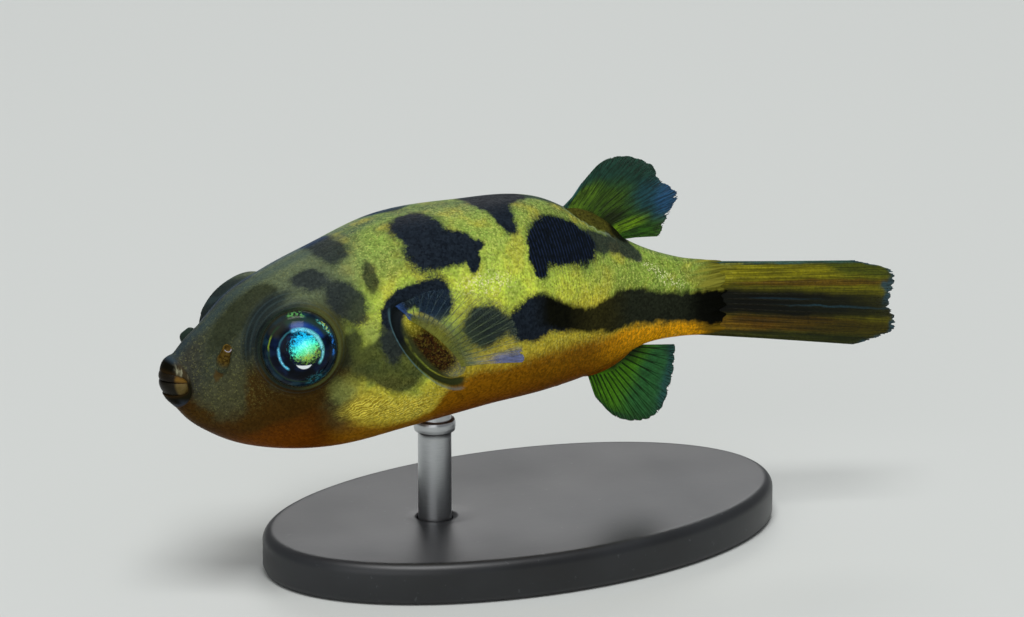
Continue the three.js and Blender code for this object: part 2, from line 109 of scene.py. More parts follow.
def smooth_rows(knots, values, wanted):
    """Values between knots along smooth curves whose slopes are the mean of their neighbours'."""
    knots = np.asarray(knots, float)
    values = np.asarray(values, float)
    slopes = np.diff(values, axis=0) / np.diff(knots)[:, None]
    tangents = np.vstack([slopes[:1], (slopes[:-1] + slopes[1:]) / 2, slopes[-1:]])
    before = np.clip(np.searchsorted(knots, wanted, side="right") - 1, 0, len(knots) - 2)
    span = (knots[before + 1] - knots[before])[:, None]
    part = (wanted - knots[before])[:, None] / span
    return (
        (2 * part**3 - 3 * part**2 + 1) * values[before]
        + (part**3 - 2 * part**2 + part) * span * tangents[before]
        + (3 * part**2 - 2 * part**3) * values[before + 1]
        + (part**3 - part**2) * span * tangents[before + 1]
    )


def full_turn(count):
    """Angles evenly round a circle."""
    return np.linspace(0, 2 * np.pi, count, endpoint=False)


def ease(value, low, high):
    """0 below low, 1 above high, and a soft step between."""
    part = np.clip((value - low) / (high - low), 0, 1)
    return part * part * (3 - 2 * part)


def cross_sections(rows, angles):
    """Points round each row's cross-section: angle 0 is the back, a quarter turn the left flank."""
    x, top, bottom, widest, half_width, squareness = (rows[:, [k]] for k in range(6))
    up, left = np.cos(angles)[None], np.sin(angles)[None]
    up = np.sign(up) * np.abs(up) ** (2 / squareness)
    left = np.sign(left) * np.abs(left) ** (2 / squareness)
    height = widest + up * np.where(up > 0, top - widest, widest - bottom)
    return np.stack([x + 0 * up, -left * half_width, height], axis=-1)


def wrap_snout(points, gape=0.0):
    """Sweeps the sides of the snout back, so that the mouth runs round it."""
    fade = np.clip(1 - (points[..., 0] - LIPS_END) / WRAP_LENGTH, 0, 1)
    swept = points.copy()
    swept[..., 0] += (MOUTH_WRAP * fade + gape) * (points[..., 1] / MOUTH_CORNER) ** 2
    on_lips = np.clip((LIPS_END - points[..., 0]) / CHIN_FADE, 0, 1)
    swept[..., 0] += CHIN_SLOPE * np.clip(-points[..., 2], 0, CHIN_DEPTH) * on_lips
    return swept


def placed(points):
    """Curls straight points to the left with the tail, and puts them in the scene's frame."""
    x, y, z = np.moveaxis(np.asarray(points, float), -1, 0)
    curvature = BEND_ANGLE / (BEND_END - BEND_START)
    angle = np.clip(x - BEND_START, 0, BEND_END - BEND_START) * curvature
    beyond = np.maximum(x - BEND_END, 0)
    ahead = np.minimum(x, BEND_START)
    curled = np.stack([
        ahead + np.sin(angle) / curvature + beyond * np.cos(angle) + y * np.sin(angle),
        y * np.cos(angle) - (1 - np.cos(angle)) / curvature - beyond * np.sin(angle),
        z,
    ], axis=-1)
    return curled * MM + snout_tip


WHOLE_MAP = (0.0, 0.0, 1.0, 1.0)  # left, low, right and high edge of the map on a piece


def ring_mesh(name, lofts):
    """One mesh of closed lofts. Each is (rings of points, {attribute: values}, box in the map)."""
    corners, faces, maps = [], [], []
    values = {}
    start = 0
    for rings, attributes, (map_left, map_low, map_right, map_high) in lofts:
        rows, around = rings.shape[:2]
        points = np.vstack([rings.reshape(-1, 3), rings[:1].mean(1), rings[-1:].mean(1)])
        across, along = np.meshgrid(np.arange(around), np.arange(rows - 1))
        following = (across + 1) % around
        quads = np.stack([
            along * around + across, along * around + following,
            (along + 1) * around + following, (along + 1) * around + across,
        ], axis=-1).reshape(-1, 4)
        loop = np.arange(around)
        next_loop = (loop + 1) % around
        last = (rows - 1) * around
        first_fan = np.stack([next_loop, loop, np.full(around, rows * around)], axis=-1)
        last_fan = np.stack(
            [last + loop, last + next_loop, np.full(around, rows * around + 1)], axis=-1,
        )
        # every face's place on the flat map that the finished colours are laid out on
        column = (map_right - map_left) / around
        row = (map_high - map_low) / (rows - 1)
        u = map_left + column * np.stack([across, across + 1, across + 1, across], -1)
        v = map_low + row * np.stack([along, along, along + 1, along + 1], -1)
        quad_map = np.stack([u, v], -1).reshape(-1, 4, 2)
        fan_u = map_left + column * np.stack([loop + 1, loop, loop + 0.5], -1)
        first_map = np.stack([fan_u, np.full_like(fan_u, map_low)], -1)
        last_map = np.stack([fan_u[:, [1, 0, 2]], np.full_like(fan_u, map_high)], -1)
        # the faces are turned over if they would look inwards
        shape = points - points.mean(0)
        volume = (np.cross(shape[quads[:, 0]], shape[quads[:, 1]]) * shape[quads[:, 2]]).sum()
        volume += (np.cross(shape[quads[:, 0]], shape[quads[:, 2]]) * shape[quads[:, 3]]).sum()
        for group, group_map in ((quads, quad_map), (first_fan, first_map), (last_fan, last_map)):
            if volume < 0:
                group, group_map = group[:, ::-1], group_map[:, ::-1]
            faces.extend((group + start).tolist())
            maps.append(group_map.reshape(-1, 2))
        for key, field in attributes.items():
            field = np.asarray(field, float)
            flat = np.vstack([field.reshape(-1, 3), field[:1].mean(1), field[-1:].mean(1)])
            values.setdefault(key, []).append(flat)
        corners.append(points)
        start += len(points)
    mesh = bpy.data.meshes.new(name)
    mesh.from_pydata(np.vstack(corners).tolist(), [], faces)
    uv = mesh.uv_layers.new(name="OFBake")
    uv.data.foreach_set("uv", np.vstack(maps).astype(np.float32).ravel())
    for key, parts in values.items():
        layer = mesh.attributes.new(key, "FLOAT_VECTOR", "POINT")
        layer.data.foreach_set("vector", np.vstack(parts).astype(np.float32).ravel())
    mesh.shade_smooth()
    mesh.update()
    piece = bpy.data.objects.new(name, mesh)
    bpy.context.scene.collection.objects.link(piece)
    return piece


AROUND = 280
HEAD_ROWS, BODY_ROWS, LIP_STEPS, STALK_ROWS = 140, 130, 40, 14
# the angle starts at the belly's middle line, where the skin's map is cut open
angles = full_turn(AROUND) - np.pi
lip_places = np.linspace(len(lip_rows) - 1, 0, LIP_STEPS)[:-1]
mouth = smooth_rows(np.arange(len(lip_rows)), lip_rows, lip_places)
lengths = np.concatenate([
    np.linspace(LIPS_END, HEAD_END, HEAD_ROWS, endpoint=False),
    np.linspace(HEAD_END, BODY_END, BODY_ROWS, endpoint=False),
])
body = np.column_stack([lengths, smooth_rows(list(sections), list(sections.values()), lengths)])
stalk_places = np.linspace(0, len(tail_root) - 1, STALK_ROWS)
stalk = smooth_rows(np.arange(len(tail_root)), tail_root, stalk_places)
all_rows = np.vstack([mouth, body, stalk])
row_gape = np.zeros((len(all_rows), 1))
row_gape[:len(lip_places), 0] = np.interp(lip_places, np.arange(len(lip_rows)), lip_gape)
hide = wrap_snout(cross_sections(all_rows, angles), row_gape)
lip_value = np.concatenate([lip_places / LIP_CREST, np.zeros(len(body) + len(stalk))])

# the flank's own map: distance from the snout, and distance over the skin from the back's ridge
girth = np.linalg.norm(np.diff(np.concatenate([hide, hide[:, :1]], 1), axis=1), axis=-1)
from_belly = np.concatenate([np.zeros((len(hide), 1)), np.cumsum(girth, axis=1)], axis=1)
ridge = from_belly[:, [AROUND // 2]]
flank_down = np.abs(from_belly[:, :AROUND] - ridge)
side = -np.sign(hide[..., 1])
flank = np.stack([hide[..., 0], flank_down, side], axis=-1)

EYE_OUT, EYE_RADIUS, EYE_DEPTH = 2.4, 1.36, 0.85
EYE_FORWARD, EYE_UP = math.radians(22), math.radians(10)
LID_HEIGHT = 0.12  # how far the ring of skin stands up round the eyeball's middle
LOBE_X, LOBE_Z, LOBE_OUT = 9.2, 0.83, 3.05
LOBE_LENGTH, LOBE_HEIGHT, LOBE_DEPTH = 1.6, 0.72, 0.62
LOBE_SLOPE = math.radians(49)


def turned(offsets, slope):
    """Offsets seen along and across a direction that dips by slope towards the tail."""
    along = offsets[..., 0] * math.cos(slope) - offsets[..., 2] * math.sin(slope)
    across = offsets[..., 0] * math.sin(slope) + offsets[..., 2] * math.cos(slope)
    return np.stack([along, offsets[..., 1], across], axis=-1)


def swelling(points, middle, half_sizes, slope=0.0):
    """Roughly how far points lie outside an oval swelling."""
    offsets = turned(points - np.array(middle), slope)
    half = np.array(half_sizes)
    inner = np.linalg.norm(offsets / half, axis=-1)
    return inner * (inner - 1) / np.maximum(np.linalg.norm(offsets / half**2, axis=-1), 1e-6)


def joined(first, second, softness):
    """The nearer of two distances, with a fillet between their shapes."""
    blend = np.clip(0.5 + 0.5 * (second - first) / softness, 0, 1)
    return second + (first - second) * blend - softness * blend * (1 - blend)


def swollen(points):
    """The body's sections pushed out to take in eye rims and fin roots."""
    axis = np.stack([points[..., 0], 0 * points[..., 1], 0 * points[..., 1] + all_rows[:, [3]]], -1)
    arm = points - axis
    reach = np.linalg.norm(arm, axis=-1)
    best = reach.copy()
    found = np.zeros_like(reach, bool)
    previous = np.full_like(reach, 1.0)
    steps = np.linspace(1.9, 0.9, 101)
    for step in steps:
        probe = axis + arm * step
        flipped = probe * np.array([1, -1, 1])
        distance = (step - 1) * reach * 0.92
        for place in (probe, flipped):
            rim = swelling(place, (EYE_X, -1.95, EYE_Z), (1.72, 0.80, 1.46))
            distance = joined(distance, rim, 0.55)
            lobe = swelling(
                place, (LOBE_X, -LOBE_OUT, LOBE_Z),
                (LOBE_LENGTH, LOBE_DEPTH, LOBE_HEIGHT), LOBE_SLOPE,
            )
            distance = joined(distance, lobe, 0.12)
        back_root = swelling(probe, (17.1, 0, 3.34), (1.35, 0.48, 0.47), math.radians(34))
        vent_root = swelling(probe, (17.6, 0, -1.47), (1.3, 0.45, 0.52), math.radians(-27))
        distance = joined(distance, back_root, 0.12)
        distance = joined(distance, vent_root, 0.12)
        crossing = (distance <= 0) & ~found
        part = previous / np.maximum(previous - distance, 1e-9)
        outer = step + (steps[0] - steps[1]) * (1 - np.clip(part, 0, 1))
        best = np.where(crossing, outer * reach, best)
        found |= crossing
        previous = distance
    return axis + arm * (best / np.maximum(reach, 1e-9))[..., None]


def eye_axes(side):
    """Forward, up and outward directions of an eye; side is -1 on the left and 1 on the right."""
    outward = np.array([
        -math.sin(EYE_FORWARD) * math.cos(EYE_UP),
        side * math.cos(EYE_FORWARD) * math.cos(EYE_UP),
        math.sin(EYE_UP),
    ])
    forward = np.cross([0, 0, 1.0], outward) * side
    forward /= np.linalg.norm(forward)
    return forward, np.cross(outward, forward) * side, outward


def socketed(points):
    """Sinks the skin under each eyeball and rings it with a lip and fine folds."""
    moved = points.copy()
    orbit = np.full(points.shape, 9.0)
    for side in (-1, 1):
        forward, up, outward = eye_axes(side)
        offset = points - np.array([EYE_X, side * EYE_OUT, EYE_Z])
        ahead, above, out = offset @ forward, offset @ up, offset @ outward
        radius = np.hypot(ahead, above)
        near = (radius < 3) & (points[..., 1] * side > 0.5)
        ball = EYE_DEPTH * np.sqrt(np.clip(1 - (radius / EYE_RADIUS) ** 2, 0, 1))
        under = ball - 0.10 + (LID_HEIGHT - (ball - 0.10)) * ease(radius, 1.20, 1.42)
        kept = ease(radius, 1.40, 1.80)
        folds = 0.014 * np.cos(2 * np.pi * (radius - 1.44) / 0.16)
        folds *= ease(radius, 1.40, 1.48) * (1 - ease(radius, 1.75, 2.2))
        target = under + (out - under) * kept + folds
        moved[near] += ((target - out)[..., None] * outward)[near]
        orbit[near] = np.stack([ahead, above, radius], axis=-1)[near]
    return moved, orbit


hide = swollen(hide)
hide, orbit = socketed(hide)

# the hollow in front of and under each pectoral lobe, whose slit is the gill opening; its dark
# colour is painted shade
mirror = np.array([1, -1, 1])
left_like = np.where(hide[..., 1:2] < 0, hide, hide * mirror)
lobe_place = turned(left_like - np.array([LOBE_X, -LOBE_OUT, LOBE_Z]), LOBE_SLOPE)
lobe_ring = np.hypot(lobe_place[..., 0] / LOBE_LENGTH, lobe_place[..., 2] / LOBE_HEIGHT)
outer_flank = ease(-left_like[..., 1], 1.6, 2.2)
above_lobe = lobe_place[..., 2] / LOBE_HEIGHT + 0.25 * lobe_place[..., 0] / LOBE_LENGTH
slit_side = ease(-above_lobe, -0.7, 0.2)
slit = np.exp(-((lobe_ring - 1.18) / 0.15) ** 2) * slit_side * outer_flank
slit_lip = np.exp(-((lobe_ring - 1.38) / 0.09) ** 2) * slit_side * outer_flank
vent = np.exp(-((hide[..., 0] - 15.7) / 0.4) ** 2 - (hide[..., 1] / 0.25) ** 2) * (hide[..., 2] < 0)
middle_line = np.stack([hide[..., 0], 0 * slit, 0 * slit + all_rows[:, [3]]], -1)
outward = hide - middle_line
outward /= np.maximum(np.linalg.norm(outward, axis=-1, keepdims=True), 1e-6)
hide = hide + outward * (0.16 * vent + 0.05 * slit_lip - 0.2 * slit)[..., None]
# the flesh of the tail stalk runs out over the fin's rays in short fingers
finger = 0.09 * np.sin(2 * np.pi * hide[..., 2] / 0.47)
finger += 0.06 * np.sin(2 * np.pi * hide[..., 2] / 0.29 + 1)
hide[..., 0] += finger * ease(hide[..., 0], 21.3, 22.1)
lobe = np.stack([
    lobe_place[..., 0] / LOBE_LENGTH,
    lobe_place[..., 2] / LOBE_HEIGHT,
    np.where(outer_flank > 0, lobe_ring + 2 * (1 - outer_flank), 9.0),
], axis=-1)

NOSTRIL_X, NOSTRIL_OUT, NOSTRIL_Z = 1.95, 1.16, 0.84
NOSTRIL_RISE = math.radians(50)
TUBE_ROWS, TUBE_AROUND = 41, 24
# the left tube leans a little towards the snout; the right one leans more and is a short bulb
NOSTRIL_LEAN = {-1: math.radians(8), 1: math.radians(48)}
# height along the tube and radius: a flared root, the wall, a rolled tip and the dark bore
nostril_wall = [
    (-0.30, 0.27), (-0.10, 0.235), (0.06, 0.205), (0.25, 0.175), (0.50, 0.155), (0.70, 0.150),
    (0.77, 0.130), (0.76, 0.100), (0.70, 0.082), (0.65, 0.05), (0.64, 0.01),
]
nostril_bulb = [
    (-0.30, 0.24), (-0.10, 0.235), (0.06, 0.245), (0.22, 0.265), (0.38, 0.255), (0.50, 0.205),
    (0.56, 0.130), (0.54, 0.090), (0.46, 0.070), (0.38, 0.05), (0.34, 0.01),
]


def nostril_tube(side):
    """Rings of one tube, and how far up its wall each ring is."""
    places = np.linspace(0, len(nostril_wall) - 1, TUBE_ROWS)
    wall = smooth_rows(np.arange(len(nostril_wall)), nostril_wall, places)
    if side > 0:
        wall = smooth_rows(np.arange(len(nostril_bulb)), nostril_bulb, places)
    turn = full_turn(TUBE_AROUND)
    height, radius = wall[:, [0]], wall[:, [1]]
    axis = np.array([
        -math.sin(NOSTRIL_LEAN[side]) * math.cos(NOSTRIL_RISE),
        side * math.cos(NOSTRIL_LEAN[side]) * math.cos(NOSTRIL_RISE),
        math.sin(NOSTRIL_RISE),
    ])
    level = np.cross(axis, [0, 0, 1.0])
    level /= np.linalg.norm(level)
    upright = np.cross(level, axis)
    rings = np.array([NOSTRIL_X, side * NOSTRIL_OUT, NOSTRIL_Z]) + (
        height[..., None] * axis
        + (radius * np.cos(turn))[..., None] * level * 1.1
        + (radius * np.sin(turn))[..., None] * upright * 1.3
    )
    share = np.clip(places / 6, 0, 2)
    return rings, np.repeat(share[:, None], TUBE_AROUND, axis=1)


lip_field = np.repeat(lip_value[:, None], AROUND, axis=1)
lofts = [(placed(hide), {
    "flank": flank,
    "straight": hide,
    "orbit": orbit,
    "lobe": lobe,
    "growth": np.stack([lip_field, 0 * slit, slit], axis=-1),
}, (0.0, 0.04, 1.0, 1.0))]
for side, map_left in ((-1, 0.0), (1, 0.5)):
    tube, share = nostril_tube(side)
    blank = np.zeros_like(tube)
    on_flank = blank + np.array([NOSTRIL_X, 1.7, -side])
    lofts.append((placed(tube), {
        "flank": on_flank,
        "straight": tube,
        "orbit": blank + 9.0,
        "lobe": blank + 9.0,
        "growth": np.stack([0 * share, share, 0 * share], axis=-1),
    }, (map_left, 0.0, map_left + 0.48, 0.03)))
skin = ring_mesh("skin", lofts)


def paint(code):
    """A colour as paint makers write it, as the linear values that shaders use."""
    parts = [int(code[k:k + 2], 16) / 255 for k in (0, 2, 4)]
    linear = [p / 12.92 if p <= 0.04045 else ((p + 0.055) / 1.055) ** 2.4 for p in parts]
    return (*linear, 1.0)


def new_material(name, roughness=0.5, **sockets):
    """A material, its node tree and its shader, with uniform values set on the shader."""
    material = bpy.data.materials.new(name)
    material.use_nodes = True
    shader = material.node_tree.nodes["Principled BSDF"]
    shader.inputs["Roughness"].default_value = roughness
    for socket, value in sockets.items():
        shader.inputs[socket.replace("_", " ")].default_value = value
    return material, material.node_tree, shader


def feed(tree, node, links):
    """Gives a node's inputs their values, or links them to other nodes' sockets."""
    for socket, value in links.items():
        if isinstance(value, bpy.types.NodeSocket):
            tree.links.new(value, node.inputs[socket])
        else:
            node.inputs[socket].default_value = value
    return node


def put(tree, kind, links=None, **settings):
    """Adds a shader node, with its settings and its inputs."""
    node = tree.nodes.new("ShaderNode" + kind)
    for setting, value in settings.items():
        setattr(node, setting, value)
    return feed(tree, node, links or {})


def calc(tree, operation, first, second=0.0, clamp=False):
    """A sum, difference or other result of two values or fields."""
    links = {0: first, 1: second}
    return put(tree, "Math", links, operation=operation, use_clamp=clamp).outputs[0]


def times(tree, first, *others):
    """The product of several values or fields."""
    for other in others:
        first = calc(tree, "MULTIPLY", first, other)
    return first


def all_but(tree, share, part):
    """What is left of 1 when part of a share is taken away."""
    return calc(tree, "SUBTRACT", 1.0, times(tree, share, part))


def vector(tree, operation, first, second):
    """A sum, difference or product of two vectors."""
    return put(tree, "VectorMath", {0: first, 1: second}, operation=operation).outputs[0]


def scaled(tree, place, factor):
    """A place or a direction stretched evenly."""
    return put(tree, "VectorMath", {0: place, "Scale": factor}, operation="SCALE").outputs[0]


def soft_step(tree, value, low, high):
    """0 where a value or field is at low, 1 at high, and a soft step between."""
    links = {"Value": value, "From Min": low, "From Max": high}
    return put(tree, "MapRange", links, interpolation_type="SMOOTHSTEP").outputs[0]


def band(tree, value, low, high, softness):
    """1 where a value lies between low and high, fading over the softness."""
    rising = soft_step(tree, value, low - softness, low + softness)
    falling = soft_step(tree, value, high + softness, high - softness)
    return times(tree, rising, falling)


def coat(tree, share, under, over, kind="MIX"):
    """One colour laid over another by a share between 0 and 1."""
    links = {0: share, 6: under, 7: over}
    return put(tree, "Mix", links, data_type="RGBA", blend_type=kind).outputs[2]


def read(tree, attribute):
    """A stored place on the piece's surface: the whole vector, and its three parts."""
    whole = put(tree, "Attribute", attribute_name=attribute).outputs["Vector"]
    parts = put(tree, "SeparateXYZ", {0: whole})
    return whole, parts.outputs[0], parts.outputs[1], parts.outputs[2]


def cloud(tree, place, scale, detail=2.0, roughness=0.5):
    """Soft random variation about one half; the scale is in patches for each unit of place."""
    links = {"Vector": place, "Scale": scale, "Detail": detail, "Roughness": roughness}
    return put(tree, "TexNoise", links)


def wobble(tree, patches, reach):
    """A cloud's variation about zero, to half the reach either way."""
    return times(tree, calc(tree, "SUBTRACT", patches.outputs["Fac"], 0.5), reach)


def curve(tree, value, low, high, points, top):
    """A smooth line through points, given over low to high, with values from 0 to top."""
    share = put(tree, "MapRange", {"Value": value, "From Min": low, "From Max": high}).outputs[0]
    node = put(tree, "FloatCurve", {"Value": share})
    line = node.mapping.curves[0]
    for place, height in points[1:-1]:
        line.points.new((place - low) / (high - low), height / top)
    line.points[0].location = (0, points[0][1] / top)
    line.points[-1].location = (1, points[-1][1] / top)
    node.mapping.update()
    return times(tree, node.outputs[0], top)


def emboss(tree, shader, height, strength, depth):
    """Fine relief on a surface; the depth is in mm."""
    bump = put(tree, "Bump", {"Height": height, "Strength": strength, "Distance": depth * MM})
    tree.links.new(bump.outputs[0], shader.inputs["Normal"])


MARK_SOFTNESS = 1.5  # how fast a mark's field falls off round its middle


def mark_group():
    """How strongly a place on the flank belongs to one oval mark: 1 in its middle."""
    group = bpy.data.node_groups.new("mark", "ShaderNodeTree")
    for name in ("Place", "Middle", "Spread"):
        group.interface.new_socket(name, in_out="INPUT", socket_type="NodeSocketVector")
    group.interface.new_socket("Turn", in_out="INPUT", socket_type="NodeSocketFloat")
    group.interface.new_socket("Field", in_out="OUTPUT", socket_type="NodeSocketFloat")
    given = group.nodes.new("NodeGroupInput")
    result = group.nodes.new("NodeGroupOutput")
    links = {"Vector": given.outputs["Place"], "Center": given.outputs["Middle"],
             "Angle": given.outputs["Turn"]}
    straightened = put(group, "VectorRotate", links, rotation_type="Z_AXIS").outputs[0]
    offset = vector(group, "SUBTRACT", straightened, given.outputs["Middle"])
    spread = vector(group, "MULTIPLY", offset, given.outputs["Spread"])
    squared = put(group, "VectorMath", {0: spread, 1: spread}, operation="DOT_PRODUCT")
    field = calc(group, "EXPONENT", times(group, squared.outputs["Value"], -MARK_SOFTNESS))
    group.links.new(field, result.inputs["Field"])
    return group


def granule_group():
    """The skin's tiny pigment grains: a random lightness for each, and their low relief."""
    group = bpy.data.node_groups.new("granules", "ShaderNodeTree")
    group.interface.new_socket("Place", in_out="INPUT", socket_type="NodeSocketVector")
    group.interface.new_socket("Grains per mm", in_out="INPUT", socket_type="NodeSocketFloat")
    group.interface.new_socket("Lightness", in_out="OUTPUT", socket_type="NodeSocketFloat")
    group.interface.new_socket("Relief", in_out="OUTPUT", socket_type="NodeSocketFloat")
    given = group.nodes.new("NodeGroupInput")
    result = group.nodes.new("NodeGroupOutput")
    links = {"Vector": given.outputs["Place"], "Scale": given.outputs["Grains per mm"]}
    cells = put(group, "TexVoronoi", links)
    single = put(group, "SeparateColor", {0: cells.outputs["Color"]}).outputs[0]
    coarse = times(group, given.outputs["Grains per mm"], 0.35)
    drift = cloud(group, given.outputs["Place"], coarse, 3.0).outputs["Fac"]
    lightness = calc(group, "ADD", times(group, single, 0.55), times(group, drift, 0.45))
    group.links.new(lightness, result.inputs["Lightness"])
    domed = calc(group, "SUBTRACT", 1.0, cells.outputs["Distance"])
    group.links.new(domed, result.inputs["Relief"])
    return group


mark = mark_group()
granules = granule_group()


def use_group(tree, group, links):
    """Places a shared node group in a material with its own values."""
    return feed(tree, put(tree, "Group", node_tree=group), links)


def marks_over(tree, place, marks):
    """The joined field of many oval marks; it is above a quarter inside them."""
    total = None
    for x, down, length, height, turn in marks:
        links = {"Place": place, "Middle": (x, down, 0), "Spread": (1 / length, 1 / height, 0),
                 "Turn": math.radians(-turn)}
        field = use_group(tree, mark, links).outputs["Field"]
        total = field if total is None else calc(tree, "ADD", total, field)
    return total


# Marks on each flank, in mm: distance from the snout, distance down from the back's ridge over
# the skin, half length, half height, and how many degrees the tail end of the mark dips.
dark_marks = [
    # the two-lobed mark on the shoulder, and its hook
    (9.45, 1.15, 1.06, 0.84, 0), (9.80, 2.42, 1.30, 0.78, 2), (10.75, 2.45, 0.52, 0.50, 0),
    (11.30, 2.50, 0.36, 0.15, -22), (11.08, 3.05, 0.20, 0.48, 14),
    # the saddle between shoulder and dorsal fin
    (12.75, 0.30, 0.80, 0.80, 0), (13.65, 0.05, 0.80, 0.55, 0), (12.98, 1.45, 0.42, 0.80, -4),
    # above the pectoral fin, and down in front of the gill opening
    (8.45, 3.70, 1.05, 0.44, 0), (9.35, 4.25, 0.62, 0.74, 20), (7.85, 4.05, 0.40, 0.60, 0),
    # behind the pectoral fin, and the thick front of the flank's stripe
    (11.15, 5.35, 0.95, 0.80, 0), (13.10, 5.50, 0.98, 0.62, 0), (14.20, 4.95, 1.40, 0.62, 2),
]
striped_marks = [
    # under the dorsal fin
    (14.50, 2.35, 0.92, 0.90, 0), (15.35, 2.00, 0.90, 0.86, -10), (16.10, 1.66, 0.72, 0.56, -24),
    (13.93, 3.10, 0.32, 0.66, -12),
]
# softer ones: at the dorsal fin's root, on the head, and behind the eye
hazy_marks = [
    (16.9, 1.25, 0.90, 0.46, -30), (18.0, 0.50, 0.46, 0.62, 0), (18.5, 0.75, 0.4, 0.3, 0),
    (6.20, 2.85, 1.12, 0.56, 62), (5.20, 1.38, 0.66, 0.44, 22), (6.45, 0.50, 0.56, 0.80, 0),
    (7.72, 4.75, 0.50, 1.0, 0),
]
# the flank's stripe towards the tail: distance from the snout, and down to its middle line or
# half its width
STRIPE_START, CHART_END = 13.0, 23.4
stripe_middle = [
    (STRIPE_START, 5.20), (14.0, 4.90), (15.0, 4.90), (16.0, 4.60), (17.0, 3.90), (18.0, 2.98),
    (19.0, 2.46), (20.0, 2.10), (21.0, 1.88), (21.6, 1.75), (CHART_END, 1.68),
]
stripe_half = [
    (STRIPE_START, 0.55), (14.0, 0.55), (15.0, 0.50), (16.0, 0.44), (17.0, 0.62), (18.0, 0.74),
    (19.0, 0.66), (20.0, 0.64), (21.0, 0.64), (21.6, 0.76), (CHART_END, 0.80),
]
# where the yellow flank gives way to the orange belly
belly_line = [
    (0.0, 0.9), (0.7, 1.7), (1.3, 3.1), (2.0, 4.1), (2.8, 4.6), (4.4, 5.0), (5.2, 6.1),
    (6.0, 7.0), (7.0, 7.9), (8.0, 8.5), (9.2, 8.6), (9.9, 7.4), (11.0, 7.1), (13.0, 6.9),
    (15.0, 6.2), (16.0, 5.5), (17.0, 4.7), (18.0, 3.75), (19.0, 3.1), (20.0, 2.65),
    (21.4, 2.3), (CHART_END, 2.2),
]

skin_paint, tree, shader = new_material("skin_paint", Specular_IOR_Level=0.02)
straight_place, _, straight_y, straight_z = read(tree, "straight")
flank_place, length_along, down_flank, flank_side = read(tree, "flank")
_, eye_ahead, eye_above, eye_away = read(tree, "orbit")
_, lobe_along, lobe_across, lobe_reach = read(tree, "lobe")
_, lip_share, tube_share, slit_share = read(tree, "growth")

# the edges of every mark wander a little, differently on the two flanks
slow = cloud(tree, straight_place, 0.9, 2.0)
quick = cloud(tree, straight_place, 4.5, 3.0)
flat_place = flank_place
for unevenness, reach in ((slow, 0.45), (quick, 0.30)):
    centred = vector(tree, "SUBTRACT", unevenness.outputs["Color"], (0.5, 0.5, 0.5))
    flat_place = vector(tree, "ADD", flat_place, scaled(tree, centred, reach))
flat_place = vector(tree, "MULTIPLY", flat_place, (1, 1, 0))
loose_parts = put(tree, "SeparateXYZ", {0: flat_place})
along, down = loose_parts.outputs[0], loose_parts.outputs[1]

grain = use_group(tree, granules, {"Place": straight_place, "Grains per mm": 13.0})
fine_grain = use_group(tree, granules, {"Place": straight_place, "Grains per mm": 26.0})
lightness = grain.outputs["Lightness"]

# ground colour of the flank: olive along the back, yellow-green, then gold, then orange
below = calc(tree, "SUBTRACT", down, curve(tree, along, 0.0, CHART_END, belly_line, 10.0))
ground = coat(tree, soft_step(tree, down, 0.2, 2.2), paint("66743c"), paint("8fa446"))
ground = coat(tree, soft_step(tree, down, 2.0, 4.6), ground, paint("cbdd4c"))
stalk = soft_step(tree, along, 16.5, 19.0)
gold_share = times(tree, soft_step(tree, below, -3.0, -0.5), all_but(tree, stalk, 0.8))
ground = coat(tree, gold_share, ground, paint("c2ae34"))
ground = coat(tree, times(tree, stalk, 0.8), ground, paint("86a03e"))
rear = soft_step(tree, along, 16.2, 18.6)
orange = coat(tree, rear, paint("8f5f0a"), paint("f0a80e"))
ground = coat(tree, soft_step(tree, below, -0.45, 0.3), ground, orange)
ground = coat(tree, soft_step(tree, below, 0.4, 2.4), ground, paint("7a420a"))
shimmer = cloud(tree, straight_place, 1.1, 2.0)
green_patch = times(tree, soft_step(tree, shimmer.outputs["Fac"], 0.46, 0.66), 0.55)
above_belly = soft_step(tree, below, 0.0, -1.5)
ground = coat(tree, times(tree, green_patch, above_belly), ground, paint("7d9a44"))
golden = times(tree, soft_step(tree, shimmer.outputs["Fac"], 0.5, 0.34), 0.45)
ground = coat(tree, times(tree, golden, above_belly), ground, paint("b5a838"))

# duller patches: behind the head, on the shoulder and above the tail stalk
shaded = marks_over(tree, flat_place, [
    (8.0, 2.2, 0.7, 0.8, 0), (10.9, 0.3, 0.9, 0.5, 0), (20.9, 0.75, 0.9, 0.4, 8),
])
ground = coat(tree, times(tree, soft_step(tree, shaded, 0.1, 0.8), 0.6), ground, paint("6a7c3a"))

# the head is duller: olive-grey on top and on the snout, brown under the eye
head_share = soft_step(tree, along, 8.2, 5.6)
behind_eye = times(tree, soft_step(tree, down, 2.2, 3.4), soft_step(tree, along, 5.5, 6.8))
olive_head = coat(tree, soft_step(tree, along, 5.0, 2.2), paint("59644a"), paint("3c4234"))
olive_head = coat(tree, soft_step(tree, down, 1.8, 3.4), olive_head, paint("40402a"))
olive_head = coat(tree, soft_step(tree, along, 1.9, 0.9), olive_head, paint("34352e"))
snout_warm = times(tree, soft_step(tree, along, 2.9, 1.9), soft_step(tree, down, 1.4, 2.4))
olive_head = coat(tree, times(tree, snout_warm, 0.7), olive_head, paint("464630"))
head_top = times(
    tree, head_share, soft_step(tree, below, 1.2, -0.1), all_but(tree, behind_eye, 0.75),
)
ground = coat(tree, head_top, ground, olive_head)
pale_cheek = marks_over(tree, flat_place, [(6.95, 4.2, 0.5, 0.85, 0), (5.75, 5.7, 0.9, 0.55, 48)])
pale_cheek = times(tree, soft_step(tree, pale_cheek, 0.1, 0.8), 0.6)
